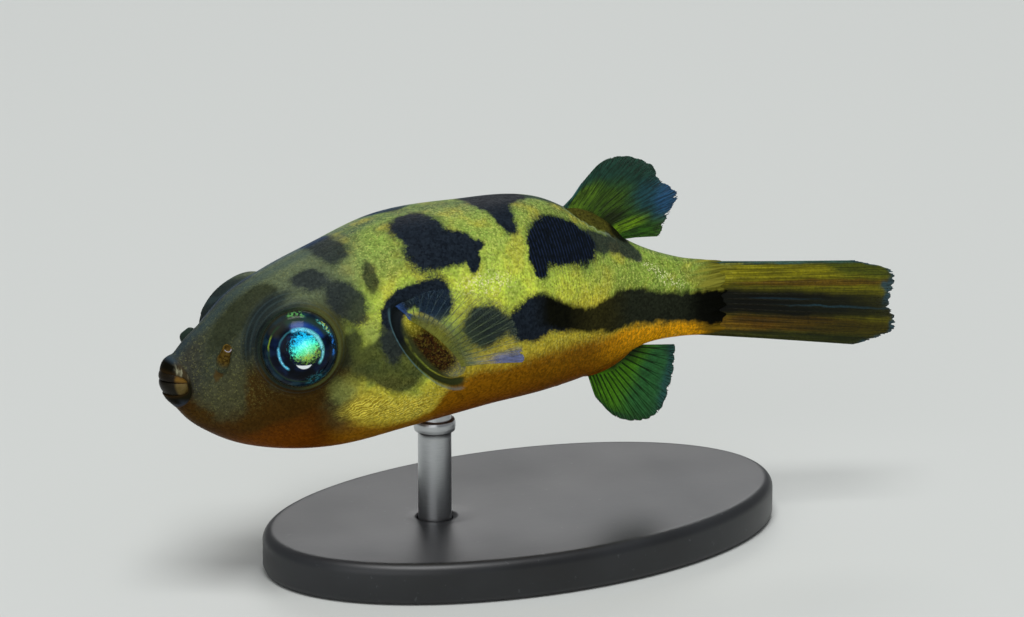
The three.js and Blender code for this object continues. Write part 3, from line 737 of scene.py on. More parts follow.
ground = coat(tree, pale_cheek, ground, paint("86904a"))
under_head = times(tree, soft_step(tree, along, 6.6, 5.0), soft_step(tree, below, -0.9, 0.7))
brown_head = coat(tree, soft_step(tree, below, 0.0, 2.2), paint("3f290a"), paint("643503"))
brown_head = coat(tree, soft_step(tree, below, 2.4, 3.6), brown_head, paint("7a3f02"))
brown_head = coat(tree, soft_step(tree, along, 3.4, 1.0), brown_head, paint("38250a"))
ground = coat(tree, under_head, ground, brown_head)
# brown painted shadow under and in front of the eye and behind the mouth, and olive painted shade
# on the brow and the cheek
painted_shadow_field = marks_over(tree, flat_place, [
    (4.2, 5.2, 1.5, 0.75, 12), (2.95, 4.0, 0.36, 1.3, -8), (5.75, 4.5, 0.34, 0.8, -20),
    (3.2, 5.0, 0.7, 0.5, 0), (1.2, 3.4, 0.7, 0.5, 60),
])
ground = coat(tree, times(tree, soft_step(tree, painted_shadow_field, 0.06, 0.6), 0.85), ground, paint("3f2b0a"))
# painted shade: olive darkening on the brow in front of the eye and on the cheek round the pectoral
# lobe
painted_shade_dusk_field = marks_over(tree, flat_place, [
    (2.6, 1.0, 1.3, 0.7, 12), (7.0, 5.45, 1.35, 0.74, 34), (7.25, 2.4, 0.3, 0.7, 0),
    (7.7, 5.9, 0.6, 0.5, 40), (8.0, 6.3, 1.0, 0.70, 48), (7.55, 5.2, 0.55, 0.9, 0),
    (3.6, 0.9, 0.6, 0.5, 20), (6.1, 4.3, 0.5, 0.6, 30),
])
painted_shade_dusk = soft_step(tree, painted_shade_dusk_field, 0.08, 0.6)
ground = coat(tree, times(tree, painted_shade_dusk, 0.9), ground, paint("2c3122"))

# golden wrinkles on the lower cheek
wrinkle_place = vector(tree, "MULTIPLY", flat_place, (0.35, 1.0, 1.0))
wavy = put(tree, "TexWave", {
    "Vector": wrinkle_place, "Scale": 2.9, "Distortion": 5.0, "Detail": 3.0, "Detail Scale": 1.4,
}, bands_direction="Y").outputs["Fac"]
gold_zone = marks_over(tree, flat_place, [(6.9, 7.05, 1.5, 0.46, 28), (8.6, 8.0, 0.85, 0.6, 14)])
gold_zone = soft_step(tree, gold_zone, 0.08, 0.75)
gold = coat(tree, soft_step(tree, wavy, 0.35, 0.95), paint("ab962a"), paint("eadb56"))
ground = coat(tree, times(tree, gold_zone, 0.9), ground, gold)
wrinkled = soft_step(tree, marks_over(tree, flat_place, [(6.9, 6.9, 1.1, 0.42, 28)]), 0.1, 0.7)

# olive where the flesh runs out over the tail fin's rays
ground = coat(tree, times(tree, soft_step(tree, along, 20.9, 22.1), 0.6), ground, paint("5c5f1c"))

# grains of pigment: dark between, with bright yellow sparks, and pale glints in two zones that are
# painted highlights
grainy = calc(tree, "ADD", times(tree, lightness, 1.6), 0.22)
grain_share = calc(tree, "SUBTRACT", 0.8, times(tree, head_share, 0.3))
ground = coat(tree, grain_share, ground, grainy, "MULTIPLY")
rib_place = vector(tree, "MULTIPLY", flat_place, (1.0, 0.25, 1.0))
ribs = put(tree, "TexWave", {
    "Vector": rib_place, "Scale": 2.3, "Distortion": 1.4, "Detail": 2.0, "Detail Scale": 2.0,
}, bands_direction="X").outputs["Fac"]
rib_share = times(tree, soft_step(tree, along, 12.6, 15.0), soft_step(tree, ribs, 0.6, 0.15))
ground = coat(tree, times(tree, rib_share, 0.28), ground, paint("3c4a18"))
spark = soft_step(tree, fine_grain.outputs["Lightness"], 0.62, 0.8)
sparkle = times(
    tree, spark, 0.45, soft_step(tree, below, 0.6, -0.8), all_but(tree, head_share, 0.82),
    all_but(tree, painted_shade_dusk, 0.85),
)
ground = coat(tree, sparkle, ground, paint("e2e27c"))
# painted highlights: pale glints on the flank and on the tail stalk
painted_glint_field = marks_over(tree, flat_place, [(11.4, 3.85, 1.5, 0.45, 0), (19.4, 1.05, 1.3, 0.28, 6)])
painted_glint_zone = soft_step(tree, painted_glint_field, 0.1, 0.9)
painted_glint = times(tree, soft_step(tree, fine_grain.outputs["Lightness"], 0.6, 0.75), painted_glint_zone)
ground = coat(tree, times(tree, painted_glint, 0.75), ground, paint("f8f4c4"))

# the translucent ridge of the back, teal and darker towards the dorsal fin
ridge_share = times(tree, soft_step(tree, down_flank, 0.5, 0.0), 0.4)
ridge_colour = coat(tree, soft_step(tree, along, 7.5, 10.0), paint("26404e"), paint("33493c"))
ground = coat(tree, ridge_share, ground, ridge_colour)
rear_ridge = times(tree, soft_step(tree, down_flank, 0.45, 0.1), 0.9)
rear_ridge = times(
    tree, rear_ridge, soft_step(tree, along, 13.2, 14.4), soft_step(tree, along, 16.8, 15.6),
)
ground = coat(tree, rear_ridge, ground, paint("18332b"))

# blue-black marks
edge = times(tree, calc(tree, "SUBTRACT", fine_grain.outputs["Lightness"], 0.5), 0.22)
plain_field = calc(tree, "ADD", marks_over(tree, flat_place, dark_marks), edge)
striped_field = calc(tree, "ADD", marks_over(tree, flat_place, striped_marks), edge)
plain_mark = soft_step(tree, plain_field, 0.10, 0.40)
striped_mark = soft_step(tree, striped_field, 0.10, 0.38)
hazy_field = calc(tree, "ADD", marks_over(tree, flat_place, hazy_marks), edge)
hazy_mark = soft_step(tree, hazy_field, 0.06, 0.42)
hazy_ink = coat(tree, lightness, paint("171d21"), paint("2f3638"))
ground = coat(tree, times(tree, hazy_mark, 0.92), ground, hazy_ink)
stripe_line = curve(tree, along, STRIPE_START, CHART_END, stripe_middle, 6.0)
from_middle = calc(tree, "ABSOLUTE", calc(tree, "SUBTRACT", down, stripe_line))
stripe_width = curve(tree, along, STRIPE_START, CHART_END, stripe_half, 1.0)
stripe_field = calc(tree, "SUBTRACT", stripe_width, from_middle)
stripe = times(tree, soft_step(tree, stripe_field, -0.16, 0.16), soft_step(tree, along, 13.2, 14.3))
ink = coat(tree, lightness, paint("090e15"), paint("252e38"))
# painted shade: the ink is darker towards the back's ridge, to hold back the light from above
ink = coat(tree, times(tree, soft_step(tree, down_flank, 1.2, 0.3), 0.5), ink, paint("060b12"))
ground = coat(tree, plain_mark, ground, ink)
# fine dark-blue lines run down the mark under the dorsal fin, a little slanted
slanted = put(tree, "Mapping", {
    "Vector": flank_place, "Rotation": (0.0, 0.0, math.radians(8)),
}).outputs[0]
lines = put(tree, "TexWave", {
    "Vector": slanted, "Scale": 2.2, "Distortion": 1.1, "Detail": 1.0, "Detail Scale": 0.5,
}, bands_direction="X").outputs["Fac"]
line_share = times(
    tree, soft_step(tree, lines, 0.55, 1.0), soft_step(tree, quick.outputs["Fac"], 0.3, 0.6),
)
striped_ink = coat(tree, lightness, paint("080d12"), paint("141a20"))
striped_ink = coat(tree, line_share, striped_ink, paint("1d2840"))
ground = coat(tree, striped_mark, ground, striped_ink)
black = coat(tree, soft_step(tree, along, 15.0, 16.4), paint("0c0d05"), paint("2a2810"))
black = coat(tree, soft_step(tree, along, 16.8, 18.2), black, paint("21251a"))
black = coat(tree, soft_step(tree, along, 20.2, 21.2), black, paint("0b0c07"))
black = coat(tree, 0.8, black, grainy, "MULTIPLY")
ground = coat(tree, stripe, ground, black)

# a painted blue sheen along the right-hand edge of the back: a reflection at the grazing edge,
# painted on the right flank only
painted_sheen_right_edge = times(
    tree, soft_step(tree, flank_side, 0.2, -0.2), band(tree, down_flank, 0.5, 1.1, 0.35),
    soft_step(tree, along, 14.5, 10.0), 0.3,
)
painted_sheen_colour = coat(tree, soft_step(tree, along, 7.0, 11.0), paint("1d4a86"), paint("3f6a72"))
ground = coat(tree, painted_sheen_right_edge, ground, painted_sheen_colour)

# the olive sheath of the dorsal fin's root with its pale lower edge, and the dark skin behind it
sheath_field = marks_over(tree, flat_place, [
    (16.6, 0.20, 0.75, 0.42, 14), (17.5, 0.12, 0.75, 0.42, 14),
])
sheath = soft_step(tree, sheath_field, 0.22, 0.5)
sheath_colour = coat(tree, lightness, paint("1d1a08"), paint("54511c"))
ground = coat(tree, times(tree, sheath, 0.95), ground, sheath_colour)
pale_edge = times(
    tree, band(tree, sheath_field, 0.2, 0.3, 0.05), soft_step(tree, along, 18.0, 17.4), 0.5,
)
ground = coat(tree, pale_edge, ground, paint("8b9a80"))
behind_fin = soft_step(tree, marks_over(tree, flat_place, [(18.05, 0.1, 0.5, 0.5, 0)]), 0.1, 0.6)
ground = coat(tree, times(tree, behind_fin, 0.9), ground, paint("0d0f0a"))

# the flesh takes on the streaks of the tail fin's rays where it thins out over them
streak_place = vector(tree, "MULTIPLY", straight_place, (0.35, 1.0, 6.0))
streaks = cloud(tree, streak_place, 1.6, 2.0)
streak_share = soft_step(tree, streaks.outputs["Fac"], 0.38, 0.62)
upper_streak = coat(tree, streak_share, paint("5e5c1c"), paint("8e8c34"))
lower_streak = coat(tree, streak_share, paint("4e400c"), paint("7c5f14"))
streak_colour = coat(tree, soft_step(tree, below, -0.7, -0.2), upper_streak, lower_streak)
streak_colour = coat(tree, soft_step(tree, stripe_field, 0.0, 0.2), streak_colour, paint("060703"))
at_fin = calc(tree, "ADD", length_along, wobble(tree, streaks, 1.6))
ground = coat(tree, soft_step(tree, at_fin, 20.7, 21.7), ground, streak_colour)

# folds round the eye: blue-grey ahead and above, olive behind, brown below
fold_zone = soft_step(tree, eye_away, 1.80, 1.46)
ahead_above = calc(tree, "ADD", times(tree, eye_ahead, 0.8), times(tree, eye_above, 0.6))
wide_zone = times(
    tree, soft_step(tree, eye_away, 2.15, 1.8), soft_step(tree, ahead_above, 0.9, 1.5),
)
fold_zone = calc(tree, "MAXIMUM", fold_zone, wide_zone)
fold_colour = coat(tree, soft_step(tree, ahead_above, 0.1, 1.1), paint("4a4a26"), paint("1b2429"))
fold_colour = coat(tree, soft_step(tree, eye_above, -0.2, -1.1), fold_colour, paint("2b1e0b"))
fold_lines = calc(tree, "SINE", times(tree, eye_away, 2 * math.pi / 0.14))
crests = times(tree, soft_step(tree, fold_lines, 0.0, 1.0), 0.35)
fold_colour = coat(tree, crests, fold_colour, paint("36484c"))
lid_edge = band(tree, eye_away, 1.36, 1.45, 0.04)
lid_colour = coat(tree, soft_step(tree, eye_ahead, 0.4, -0.8), paint("1c2a26"), paint("50562c"))
fold_colour = coat(tree, lid_edge, fold_colour, lid_colour)
ground = coat(tree, times(tree, fold_zone, 0.85), ground, fold_colour)

# pectoral lobe: gold-green above, dark red-brown in the middle, grey-olive towards the fin
lobe_share = soft_step(tree, lobe_reach, 1.06, 0.96)
lobe_gold = coat(tree, soft_step(tree, lobe_along, -0.1, 0.7), paint("989227"), paint("868768"))
gold_grain = soft_step(tree, fine_grain.outputs["Lightness"], 0.55, 0.75)
lobe_gold = coat(tree, gold_grain, lobe_gold, paint("cfc44c"))
lobe_red = coat(tree, soft_step(tree, lightness, 0.2, 0.8), paint("21130a"), paint("3a220d"))
red_share = times(
    tree, soft_step(tree, lobe_across, 0.75, -0.05), soft_step(tree, lobe_along, -1.0, -0.5),
    soft_step(tree, lobe_along, 0.85, 0.35),
)
red_grain = calc(tree, "SUBTRACT", 1.2, times(tree, fine_grain.outputs["Lightness"], 0.4))
red_share = calc(tree, "MULTIPLY", red_share, red_grain, clamp=True)
lobe_colour = coat(tree, red_share, lobe_gold, lobe_red)
lobe_rim = calc(tree, "SUBTRACT", lobe_reach, times(tree, lobe_across, 0.4))
lobe_rim = soft_step(tree, lobe_rim, 1.0, 1.3)
lobe_colour = coat(tree, lobe_rim, lobe_colour, paint("3f4426"))
lobe_colour = coat(tree, 0.4, lobe_colour, grainy, "MULTIPLY")
ground = coat(tree, lobe_share, ground, lobe_colour)
# painted shade in the gill slit, darkest towards its front
slit_painted_shade = coat(tree, soft_step(tree, lobe_along, -0.7, -0.2), paint("171c1e"), paint("3c4222"))
ground = coat(tree, soft_step(tree, slit_share, 0.2, 0.7), ground, slit_painted_shade)
slit_line = times(
    tree, band(tree, lobe_reach, 1.34, 1.40, 0.04), soft_step(tree, lobe_across, -0.2, -0.55),
    0.55,
)
ground = coat(tree, slit_line, ground, paint("5f8791"))

# lips: blue-grey with cream folds above and below; dark olive painted shade in front and in the
# corners' creases, amber-brown painted shade inside that goes near black in the mouth's cavity
lip_fold = cloud(tree, put(tree, "Mapping", {
    "Vector": straight_place, "Rotation": (0.0, 0.9, 0.0), "Scale": (3.2, 1.0, 1.0),
}).outputs[0], 2.0, 3.0, 0.55)
off_middle = calc(tree, "ABSOLUTE", straight_y)
to_corner = soft_step(tree, off_middle, 0.28, 0.55)
upper_lip = soft_step(tree, straight_z, 0.05, 0.3)
cream = soft_step(tree, lip_fold.outputs["Fac"], 0.44, 0.6)
corner_folds = coat(tree, cream, paint("3c3424"), paint("97957a"))
lip_colour = coat(tree, to_corner, paint("34424c"), corner_folds)
chin_side = soft_step(tree, straight_z, -0.45, -0.8)
lower_colour = coat(tree, chin_side, paint("17150a"), paint("323944"))
lip_colour = coat(tree, upper_lip, lower_colour, lip_colour)
# painted shade on the front of the lips, dark olive
front = times(tree, soft_step(tree, off_middle, 0.62, 0.42), soft_step(tree, lip_share, 0.45, 0.8))
lip_colour = coat(tree, front, lip_colour, paint("0d0c06"))
# painted shade inside the mouth: dark amber-brown, deepening to near black in its cavity
painted_mouth_shade = times(tree, soft_step(tree, lip_share, 0.95, 1.25), 0.85)
lip_colour = coat(tree, painted_mouth_shade, lip_colour, paint("2a1e0c"))
lip_colour = coat(tree, soft_step(tree, lip_share, 1.5, 1.9), lip_colour, paint("0c0805"))
# painted shade in the creases at the mouth's corners
painted_crease_shade = times(
    tree, band(tree, lip_share, 0.36, 0.5, 0.1), soft_step(tree, off_middle, 0.5, 0.75), 0.7,
)
lip_colour = coat(tree, painted_crease_shade, lip_colour, paint("1c160e"))
ground = coat(tree, soft_step(tree, lip_share, 0.3, 0.62), ground, lip_colour)

# nostril tubes: amber walls, pale lilac tips, dark bores; the pale lilac is partly a painted
# highlight, and the right-hand tube is painted in shadow
tube_colour = coat(tree, soft_step(tree, lightness, 0.3, 0.7), paint("40300f"), paint("64501f"))
# painted shadow: the right-hand tube and its tip are darker grey-green
far_tube_painted_shade = soft_step(tree, straight_y, 0.6, 1.0)
tube_colour = coat(tree, far_tube_painted_shade, tube_colour, paint("27332c"))
tube_tip = coat(tree, far_tube_painted_shade, paint("96939e"), paint("3c4a48"))
# the pale lilac on the near tube's tip is painted only on the lower part of its rim, as a U-shaped
# painted highlight
painted_highlight_rim_low = soft_step(tree, straight_z, 1.42, 1.36)
tip_share = times(
    tree, soft_step(tree, tube_share, 0.95, 1.02), soft_step(tree, tube_share, 1.25, 1.15),
    calc(tree, "MAXIMUM", painted_highlight_rim_low, far_tube_painted_shade),
)
tube_colour = coat(tree, soft_step(tree, tube_share, 1.12, 1.25), tube_colour, paint("5c4a22"))
tube_colour = coat(tree, tip_share, tube_colour, tube_tip)
amber_root = soft_step(tree, marks_over(tree, flat_place, [(1.83, 1.88, 0.17, 0.30, 0)]), 0.15, 0.8)
ground = coat(tree, times(tree, amber_root, 0.7), ground, paint("4a3410"))
ground = coat(tree, soft_step(tree, tube_share, 0.1, 0.5), ground, tube_colour)

tree.links.new(ground, shader.inputs["Base Color"])
roughness = calc(tree, "SUBTRACT", 0.55, times(tree, lightness, 0.25))
tree.links.new(roughness, shader.inputs["Roughness"])
relief = calc(
    tree, "ADD", times(tree, grain.outputs["Relief"], 0.6), times(tree, quick.outputs["Fac"], 0.8),
)
relief = calc(tree, "ADD", relief, times(tree, wavy, wrinkled))
emboss(tree, shader, relief, 0.5, 0.03)
skin.data.materials.append(skin_paint)

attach(skin, "root")
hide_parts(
    "head", "trunk", "belly", "tail_stalk", "upper_lip", "lower_lip",
    "nostril_left", "nostril_right", "dorsal_fin_base", "anal_fin_base",
    "pectoral_base_left", "pectoral_base_right",
)


# ---------------------------------------------------------------- eyes
# Two large eyes, each a flattened ball under a clear cornea with a faint groove round it. The iris
# is blue-black with a broken light ring at its inner edge, and the pupil is cyan and green, a
# painted reflection; pupil and ring glow a little by emission, which is painted light.

CORNEA_RADIUS = 1.11
ARC_FADE = 0.09  # radians over which an arc of the iris fades at its ends
BACK_ROWS, FRONT_ROWS, EYE_AROUND = 12, 74, 120


def eyeball(name, side):
    """A ball with its rings round the way it looks, from its back to the cornea."""
    forward, up, outward = eye_axes(side)
    tilt = np.radians(np.concatenate([
        np.linspace(-88, 0, BACK_ROWS, endpoint=False), np.linspace(0, 89.5, FRONT_ROWS),
    ]))[:, None]
    radius = EYE_RADIUS * np.cos(tilt)
    dome = 0.07 * np.clip(1 - (radius / CORNEA_RADIUS) ** 2, 0, 1)
    groove = 0.02 * np.exp(-(((radius - CORNEA_RADIUS) / 0.05) ** 2))
    height = EYE_DEPTH * np.sin(tilt) + np.where(tilt > 0, dome - groove, 0)
    turn = full_turn(EYE_AROUND)[None]
    ahead, above = radius * np.cos(turn), radius * np.sin(turn)
    rings = np.array([EYE_X, side * EYE_OUT, EYE_Z]) + (
        ahead[..., None] * forward + above[..., None] * up
        + (height + 0 * turn)[..., None] * outward
    )
    iris = np.stack([ahead, above, radius + 0 * turn], axis=-1)
    return ring_mesh(name, [(placed(rings), {"iris": iris}, WHOLE_MAP)])


def arc(tree, radius, turn, ring, sweep, softness):
    """A stretch of a ring: between two radii, and between two angles counted from ahead."""
    across = band(tree, radius, *ring, softness)
    start, end = np.radians(sweep).tolist()
    return times(tree, across, band(tree, turn, start, end, ARC_FADE))


def distance_from(tree, place, middle):
    """How far a place on the iris lies from a point, seen from straight in front."""
    flat = vector(tree, "MULTIPLY", vector(tree, "SUBTRACT", place, middle), (1, 1, 0))
    return put(tree, "VectorMath", {0: flat}, operation="LENGTH").outputs["Value"]


eye_paint, tree, shader = new_material(
    "eye_paint", roughness=0.11, IOR=1.38, Specular_IOR_Level=0.12,
)
iris_place, iris_ahead, iris_above, iris_radius = read(tree, "iris")
turn = calc(tree, "ARCTAN2", iris_above, iris_ahead)
rear_turn = calc(tree, "ARCTAN2", times(tree, iris_above, -1.0), times(tree, iris_ahead, -1.0))
iris_cloud = cloud(tree, iris_place, 2.6, 3.0)
flecks = use_group(tree, granules, {"Place": iris_place, "Grains per mm": 15.0})
fleck = soft_step(tree, flecks.outputs["Lightness"], 0.40, 0.66)
fine_flecks = use_group(tree, granules, {"Place": iris_place, "Grains per mm": 26.0})
fine_fleck = soft_step(tree, fine_flecks.outputs["Lightness"], 0.45, 0.7)
frayed = calc(tree, "ADD", iris_radius, wobble(tree, iris_cloud, 0.10))

# the ball: blue-black, with a translucent olive haze above and ahead, olive at its very edge
blue_cloud = soft_step(tree, iris_cloud.outputs["Fac"], 0.35, 0.7)
eye = coat(tree, blue_cloud, paint("050a18"), paint("0d1c38"))
outer = soft_step(tree, frayed, 1.02, 1.16)
teal_cloud = soft_step(tree, iris_cloud.outputs["Fac"], 0.42, 0.66)
teal = coat(tree, teal_cloud, paint("0a1826"), paint("16323f"))
eye = coat(tree, outer, eye, teal)
haze = arc(tree, frayed, turn, (0.90, 1.28), (28, 92), 0.14)
eye = coat(tree, times(tree, haze, 0.75), eye, paint("2c2c20"))
upper_haze = arc(tree, frayed, turn, (0.96, 1.14), (62, 150), 0.10)
eye = coat(tree, times(tree, upper_haze, 0.6), eye, paint("2c4433"))
blue = arc(tree, frayed, turn, (0.80, 0.96), (68, 150), 0.08)
eye = coat(tree, times(tree, blue, 0.8), eye, paint("163a86"))
violet = use_group(tree, mark, {
    "Place": iris_place, "Middle": (0.02, 0.88, 0.0), "Spread": (1 / 0.30, 1 / 0.11, 0.0),
}).outputs["Field"]
eye = coat(tree, times(tree, violet, 0.6), eye, paint("3f5f9c"))
lower_black = arc(tree, frayed, turn, (0.70, 1.06), (-125, -60), 0.08)
eye = coat(tree, times(tree, lower_black, 0.8), eye, paint("04070b"))
eye = coat(tree, soft_step(tree, frayed, 1.25, 1.36), eye, paint("2c2c1c"))
# the thin gold line at the cornea's rim, bright ahead and fading below
gold_line = arc(tree, frayed, turn, (1.08, 1.125), (-135, 50), 0.03)
eye = coat(tree, times(tree, gold_line, 0.7), eye, paint("26402a"))
bright_line = arc(tree, frayed, turn, (1.085, 1.115), (2, 26), 0.025)
eye = coat(tree, times(tree, bright_line, 0.9), eye, paint("8fa82c"))
# flecks: green-gold above, cyan and blue behind, teal below
green_flecks = times(tree, arc(tree, frayed, turn, (1.16, 1.30), (70, 98), 0.05), fleck)
eye = coat(tree, times(tree, green_flecks, 0.8), eye, paint("62a85a"))
cyan_flecks = times(tree, arc(tree, frayed, turn, (1.12, 1.22), (122, 156), 0.04), fleck)
eye = coat(tree, cyan_flecks, eye, paint("5cb8b0"))
gold_flecks = times(tree, arc(tree, frayed, turn, (1.16, 1.24), (128, 150), 0.03), fine_fleck)
eye = coat(tree, gold_flecks, eye, paint("b6c84e"))
blue_flecks = times(tree, arc(tree, frayed, rear_turn, (1.13, 1.22), (-24, 10), 0.04), fleck)
eye = coat(tree, blue_flecks, eye, paint("2f74c8"))
low_flecks = times(tree, arc(tree, frayed, turn, (0.98, 1.26), (-135, -100), 0.10), fleck)
eye = coat(tree, times(tree, low_flecks, 0.8), eye, paint("2b6670"))

# the pupil: grains that mirror cyan above and green-gold below, a painted reflection, with a black
# gap ahead of them
glow_reach = distance_from(tree, iris_place, (-0.16, 0.13, 0.0))
fine_cloud = cloud(tree, iris_place, 8.0, 4.0, 0.6)
roughened = times(tree, calc(tree, "SUBTRACT", 0.5, fine_flecks.outputs["Lightness"]), 0.30)
clouded = wobble(tree, fine_cloud, 0.6)
grainy_reach = calc(tree, "ADD", glow_reach, calc(tree, "ADD", roughened, clouded))
glow = soft_step(tree, grainy_reach, 0.63, 0.34)
glow_height = calc(tree, "ADD", iris_above, times(tree, iris_ahead, 0.45))
glow_height = calc(tree, "ADD", glow_height, wobble(tree, iris_cloud, 0.3))
glow_colour = coat(tree, soft_step(tree, glow_height, 0.42, 0.12), paint("18b4e6"), paint("48ecdc"))
glow_colour = coat(tree, soft_step(tree, glow_height, 0.14, -0.12), glow_colour, paint("5cdc90"))
glow_colour = coat(tree, soft_step(tree, glow_height, -0.08, -0.34), glow_colour, paint("7fae48"))
glow_gold = times(
    tree, soft_step(tree, fine_cloud.outputs["Fac"], 0.54, 0.66),
    soft_step(tree, glow_height, 0.0, -0.3),
)
glow_colour = coat(tree, glow_gold, glow_colour, paint("d6c84a"))
glow_dark = times(
    tree, soft_step(tree, fine_flecks.outputs["Lightness"], 0.52, 0.30),
    soft_step(tree, glow_reach, 0.0, 0.55), 0.75,
)
glow_colour = coat(tree, glow_dark, glow_colour, paint("0c5a6a"))
# a painted highlight in the middle of the pupil
glow_painted_highlight = times(
    tree, soft_step(tree, glow_reach, 0.36, 0.0),
    soft_step(tree, fine_flecks.outputs["Lightness"], 0.35, 0.7), 0.6,
)
glow_colour = coat(tree, glow_painted_highlight, glow_colour, paint("a8fff0"))
eye = coat(tree, glow, eye, glow_colour)

# the broken ring round the pupil, and the white crescent at its foot, a painted highlight
ring_place = calc(tree, "ADD", iris_radius, wobble(tree, fine_cloud, 0.05))
ring_ahead = arc(tree, ring_place, turn, (0.735, 0.805), (-56, 8), 0.035)
ring_thin = arc(tree, ring_place, turn, (0.74, 0.79), (10, 72), 0.03)
ring_above = arc(tree, ring_place, turn, (0.69, 0.80), (66, 178), 0.05)
ring_rear = arc(tree, ring_place, rear_turn, (0.74, 0.82), (-12, 36), 0.04)
eye = coat(tree, times(tree, ring_thin, 0.45), eye, paint("3f8c9c"))
light_ring = calc(tree, "MAXIMUM", ring_ahead, calc(tree, "MAXIMUM", ring_above, ring_rear))
ring_break = soft_step(tree, fine_cloud.outputs["Fac"], 0.36, 0.54)
light_ring = times(tree, light_ring, calc(tree, "ADD", times(tree, ring_break, 0.6), 0.4))
ring_colour = coat(tree, soft_step(tree, iris_ahead, 0.3, -0.6), paint("4cb8dc"), paint("62c0c4"))
ring_colour = coat(tree, times(tree, fine_fleck, 0.5), ring_colour, paint("9fdcf0"))
eye = coat(tree, light_ring, eye, ring_colour)
# the crescent, a painted highlight, is what a small disc shows below the edge of a large one
disc_edges = []
for disc_middle in ((-0.10, -0.325, 0.0), (-0.10, 0.72, 0.0)):
    disc_edges.append(distance_from(tree, iris_place, disc_middle))
painted_highlight_crescent = times(
    tree, soft_step(tree, disc_edges[0], 0.325, 0.295),
    soft_step(tree, disc_edges[1], 1.215, 1.245),
)
eye = coat(tree, painted_highlight_crescent, eye, paint("f4fbff"))
tree.links.new(eye, shader.inputs["Base Color"])
# painted light: the pupil and the light ring glow a little by emission
shine = times(tree, calc(tree, "MAXIMUM", glow, light_ring), 0.9)
lit = coat(tree, shine, paint("000000"), eye)
tree.links.new(lit, shader.inputs["Emission Color"])
shader.inputs["Emission Strength"].default_value = 0.35
emboss(tree, shader, flecks.outputs["Relief"], 0.15, 0.01)

for side, hand in ((-1, "left"), (1, "right")):
    ball = eyeball("eyeball_" + hand, side)
    ball.data.materials.append(eye_paint)
    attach(ball, "root")
    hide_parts("eye_" + hand)


# ---------------------------------------------------------------- beak
# The fused teeth: an upper and a lower plate of ivory-like enamel that meet in a cutting edge just
# inside the lips. Each is a curved wedge set in the jaw, amber above, horn-coloured below.

BEAK_SPLIT = 0.08  # level where the plates meet
BEAK_HALF_WIDTH, BEAK_MIDDLE, BEAK_HALF_DEPTH = 0.74, 0.20, 0.15
BEAK_ROWS, BEAK_AROUND = 61, 36
beak_paint, tree, shader = new_material("beak_paint", roughness=0.4, Specular_IOR_Level=0.12)
tooth_place, across_beak, up_beak, _ = read(tree, "tooth")
growth = put(tree, "TexWave", {
    "Vector": tooth_place, "Scale": 5.0, "Distortion": 2.5, "Detail": 2.0,
}, bands_direction="Y").outputs["Fac"]
stain = soft_step(tree, cloud(tree, tooth_place, 4.0, 3.0).outputs["Fac"], 0.35, 0.65)
upper_horn = coat(tree, stain, paint("5c4012"), paint("7a5a1c"))
lower_horn = coat(tree, stain, paint("5c4e26"), paint("6e5e36"))
horn = coat(tree, soft_step(tree, up_beak, -0.05, 0.05), lower_horn, upper_horn)
horn = coat(tree, times(tree, growth, 0.3), horn, paint("4a3412"))
# painted shade along the cutting edge, where the plates meet
painted_seam_shade = soft_step(tree, calc(tree, "ABSOLUTE", up_beak), 0.10, 0.0)
horn = coat(tree, times(tree, painted_seam_shade, 0.7), horn, paint("3a200c"))
in_shade = soft_step(tree, calc(tree, "ABSOLUTE", across_beak), 0.80, 0.68)
horn = coat(tree, times(tree, in_shade, 0.96), horn, paint("080703"))
tree.links.new(horn, shader.inputs["Base Color"])
emboss(tree, shader, growth, 0.35, 0.01)


def beak_plate(name, direction, height):
    """Sections from one corner of the mouth to the other, each a wedge with a rounded back."""
    across = np.linspace(-1, 1, BEAK_ROWS)[:, None]
    width = BEAK_HALF_WIDTH * across
    tall = height * np.sqrt(1 - 0.97 * across**6)
    turn = full_turn(BEAK_AROUND)[None]
    rise = (1 - np.cos(turn)) / 2
    bulge = np.sign(np.sin(turn)) * np.abs(np.sin(turn)) ** 0.3
    depth = bulge * (BEAK_HALF_DEPTH + 0.03 * np.sqrt(rise)) * np.sqrt(1 - 0.9 * across**6)
    x = BEAK_MIDDLE - depth + 0.10 * rise**2
    z = BEAK_SPLIT + direction * (0.006 + tall * rise)
    points = wrap_snout(np.stack([x, width + 0 * turn, z], axis=-1), MOUTH_GAPE)
    tooth = np.stack([across + 0 * turn, direction * rise + 0 * across, depth], axis=-1)
    return ring_mesh(name, [(placed(points), {"tooth": tooth}, WHOLE_MAP)])


for name, node, direction, height in (
    ("beak_plate_upper", "upper_beak", 1, 0.34), ("beak_plate_lower", "lower_beak", -1, 0.52),
):
    plate = beak_plate(name, direction, height)
    plate.data.materials.append(beak_paint)
    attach(plate, "root")
    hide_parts(node)


# ---------------------------------------------------------------- fins
# Each fin is a thin web of clear skin held open by jointed rays that fork towards its edge. The
# rays are spread over the web's middle surface, and both grow out of the body's fleshy roots.

WEB_STEPS, STEPS_PER_RAY = 36, 16  # rows of the web from root to edge, and along it
WEB_EDGE = 0.022  # half thickness at the free edge
RAY_JOINTS = 26  # joints along each ray

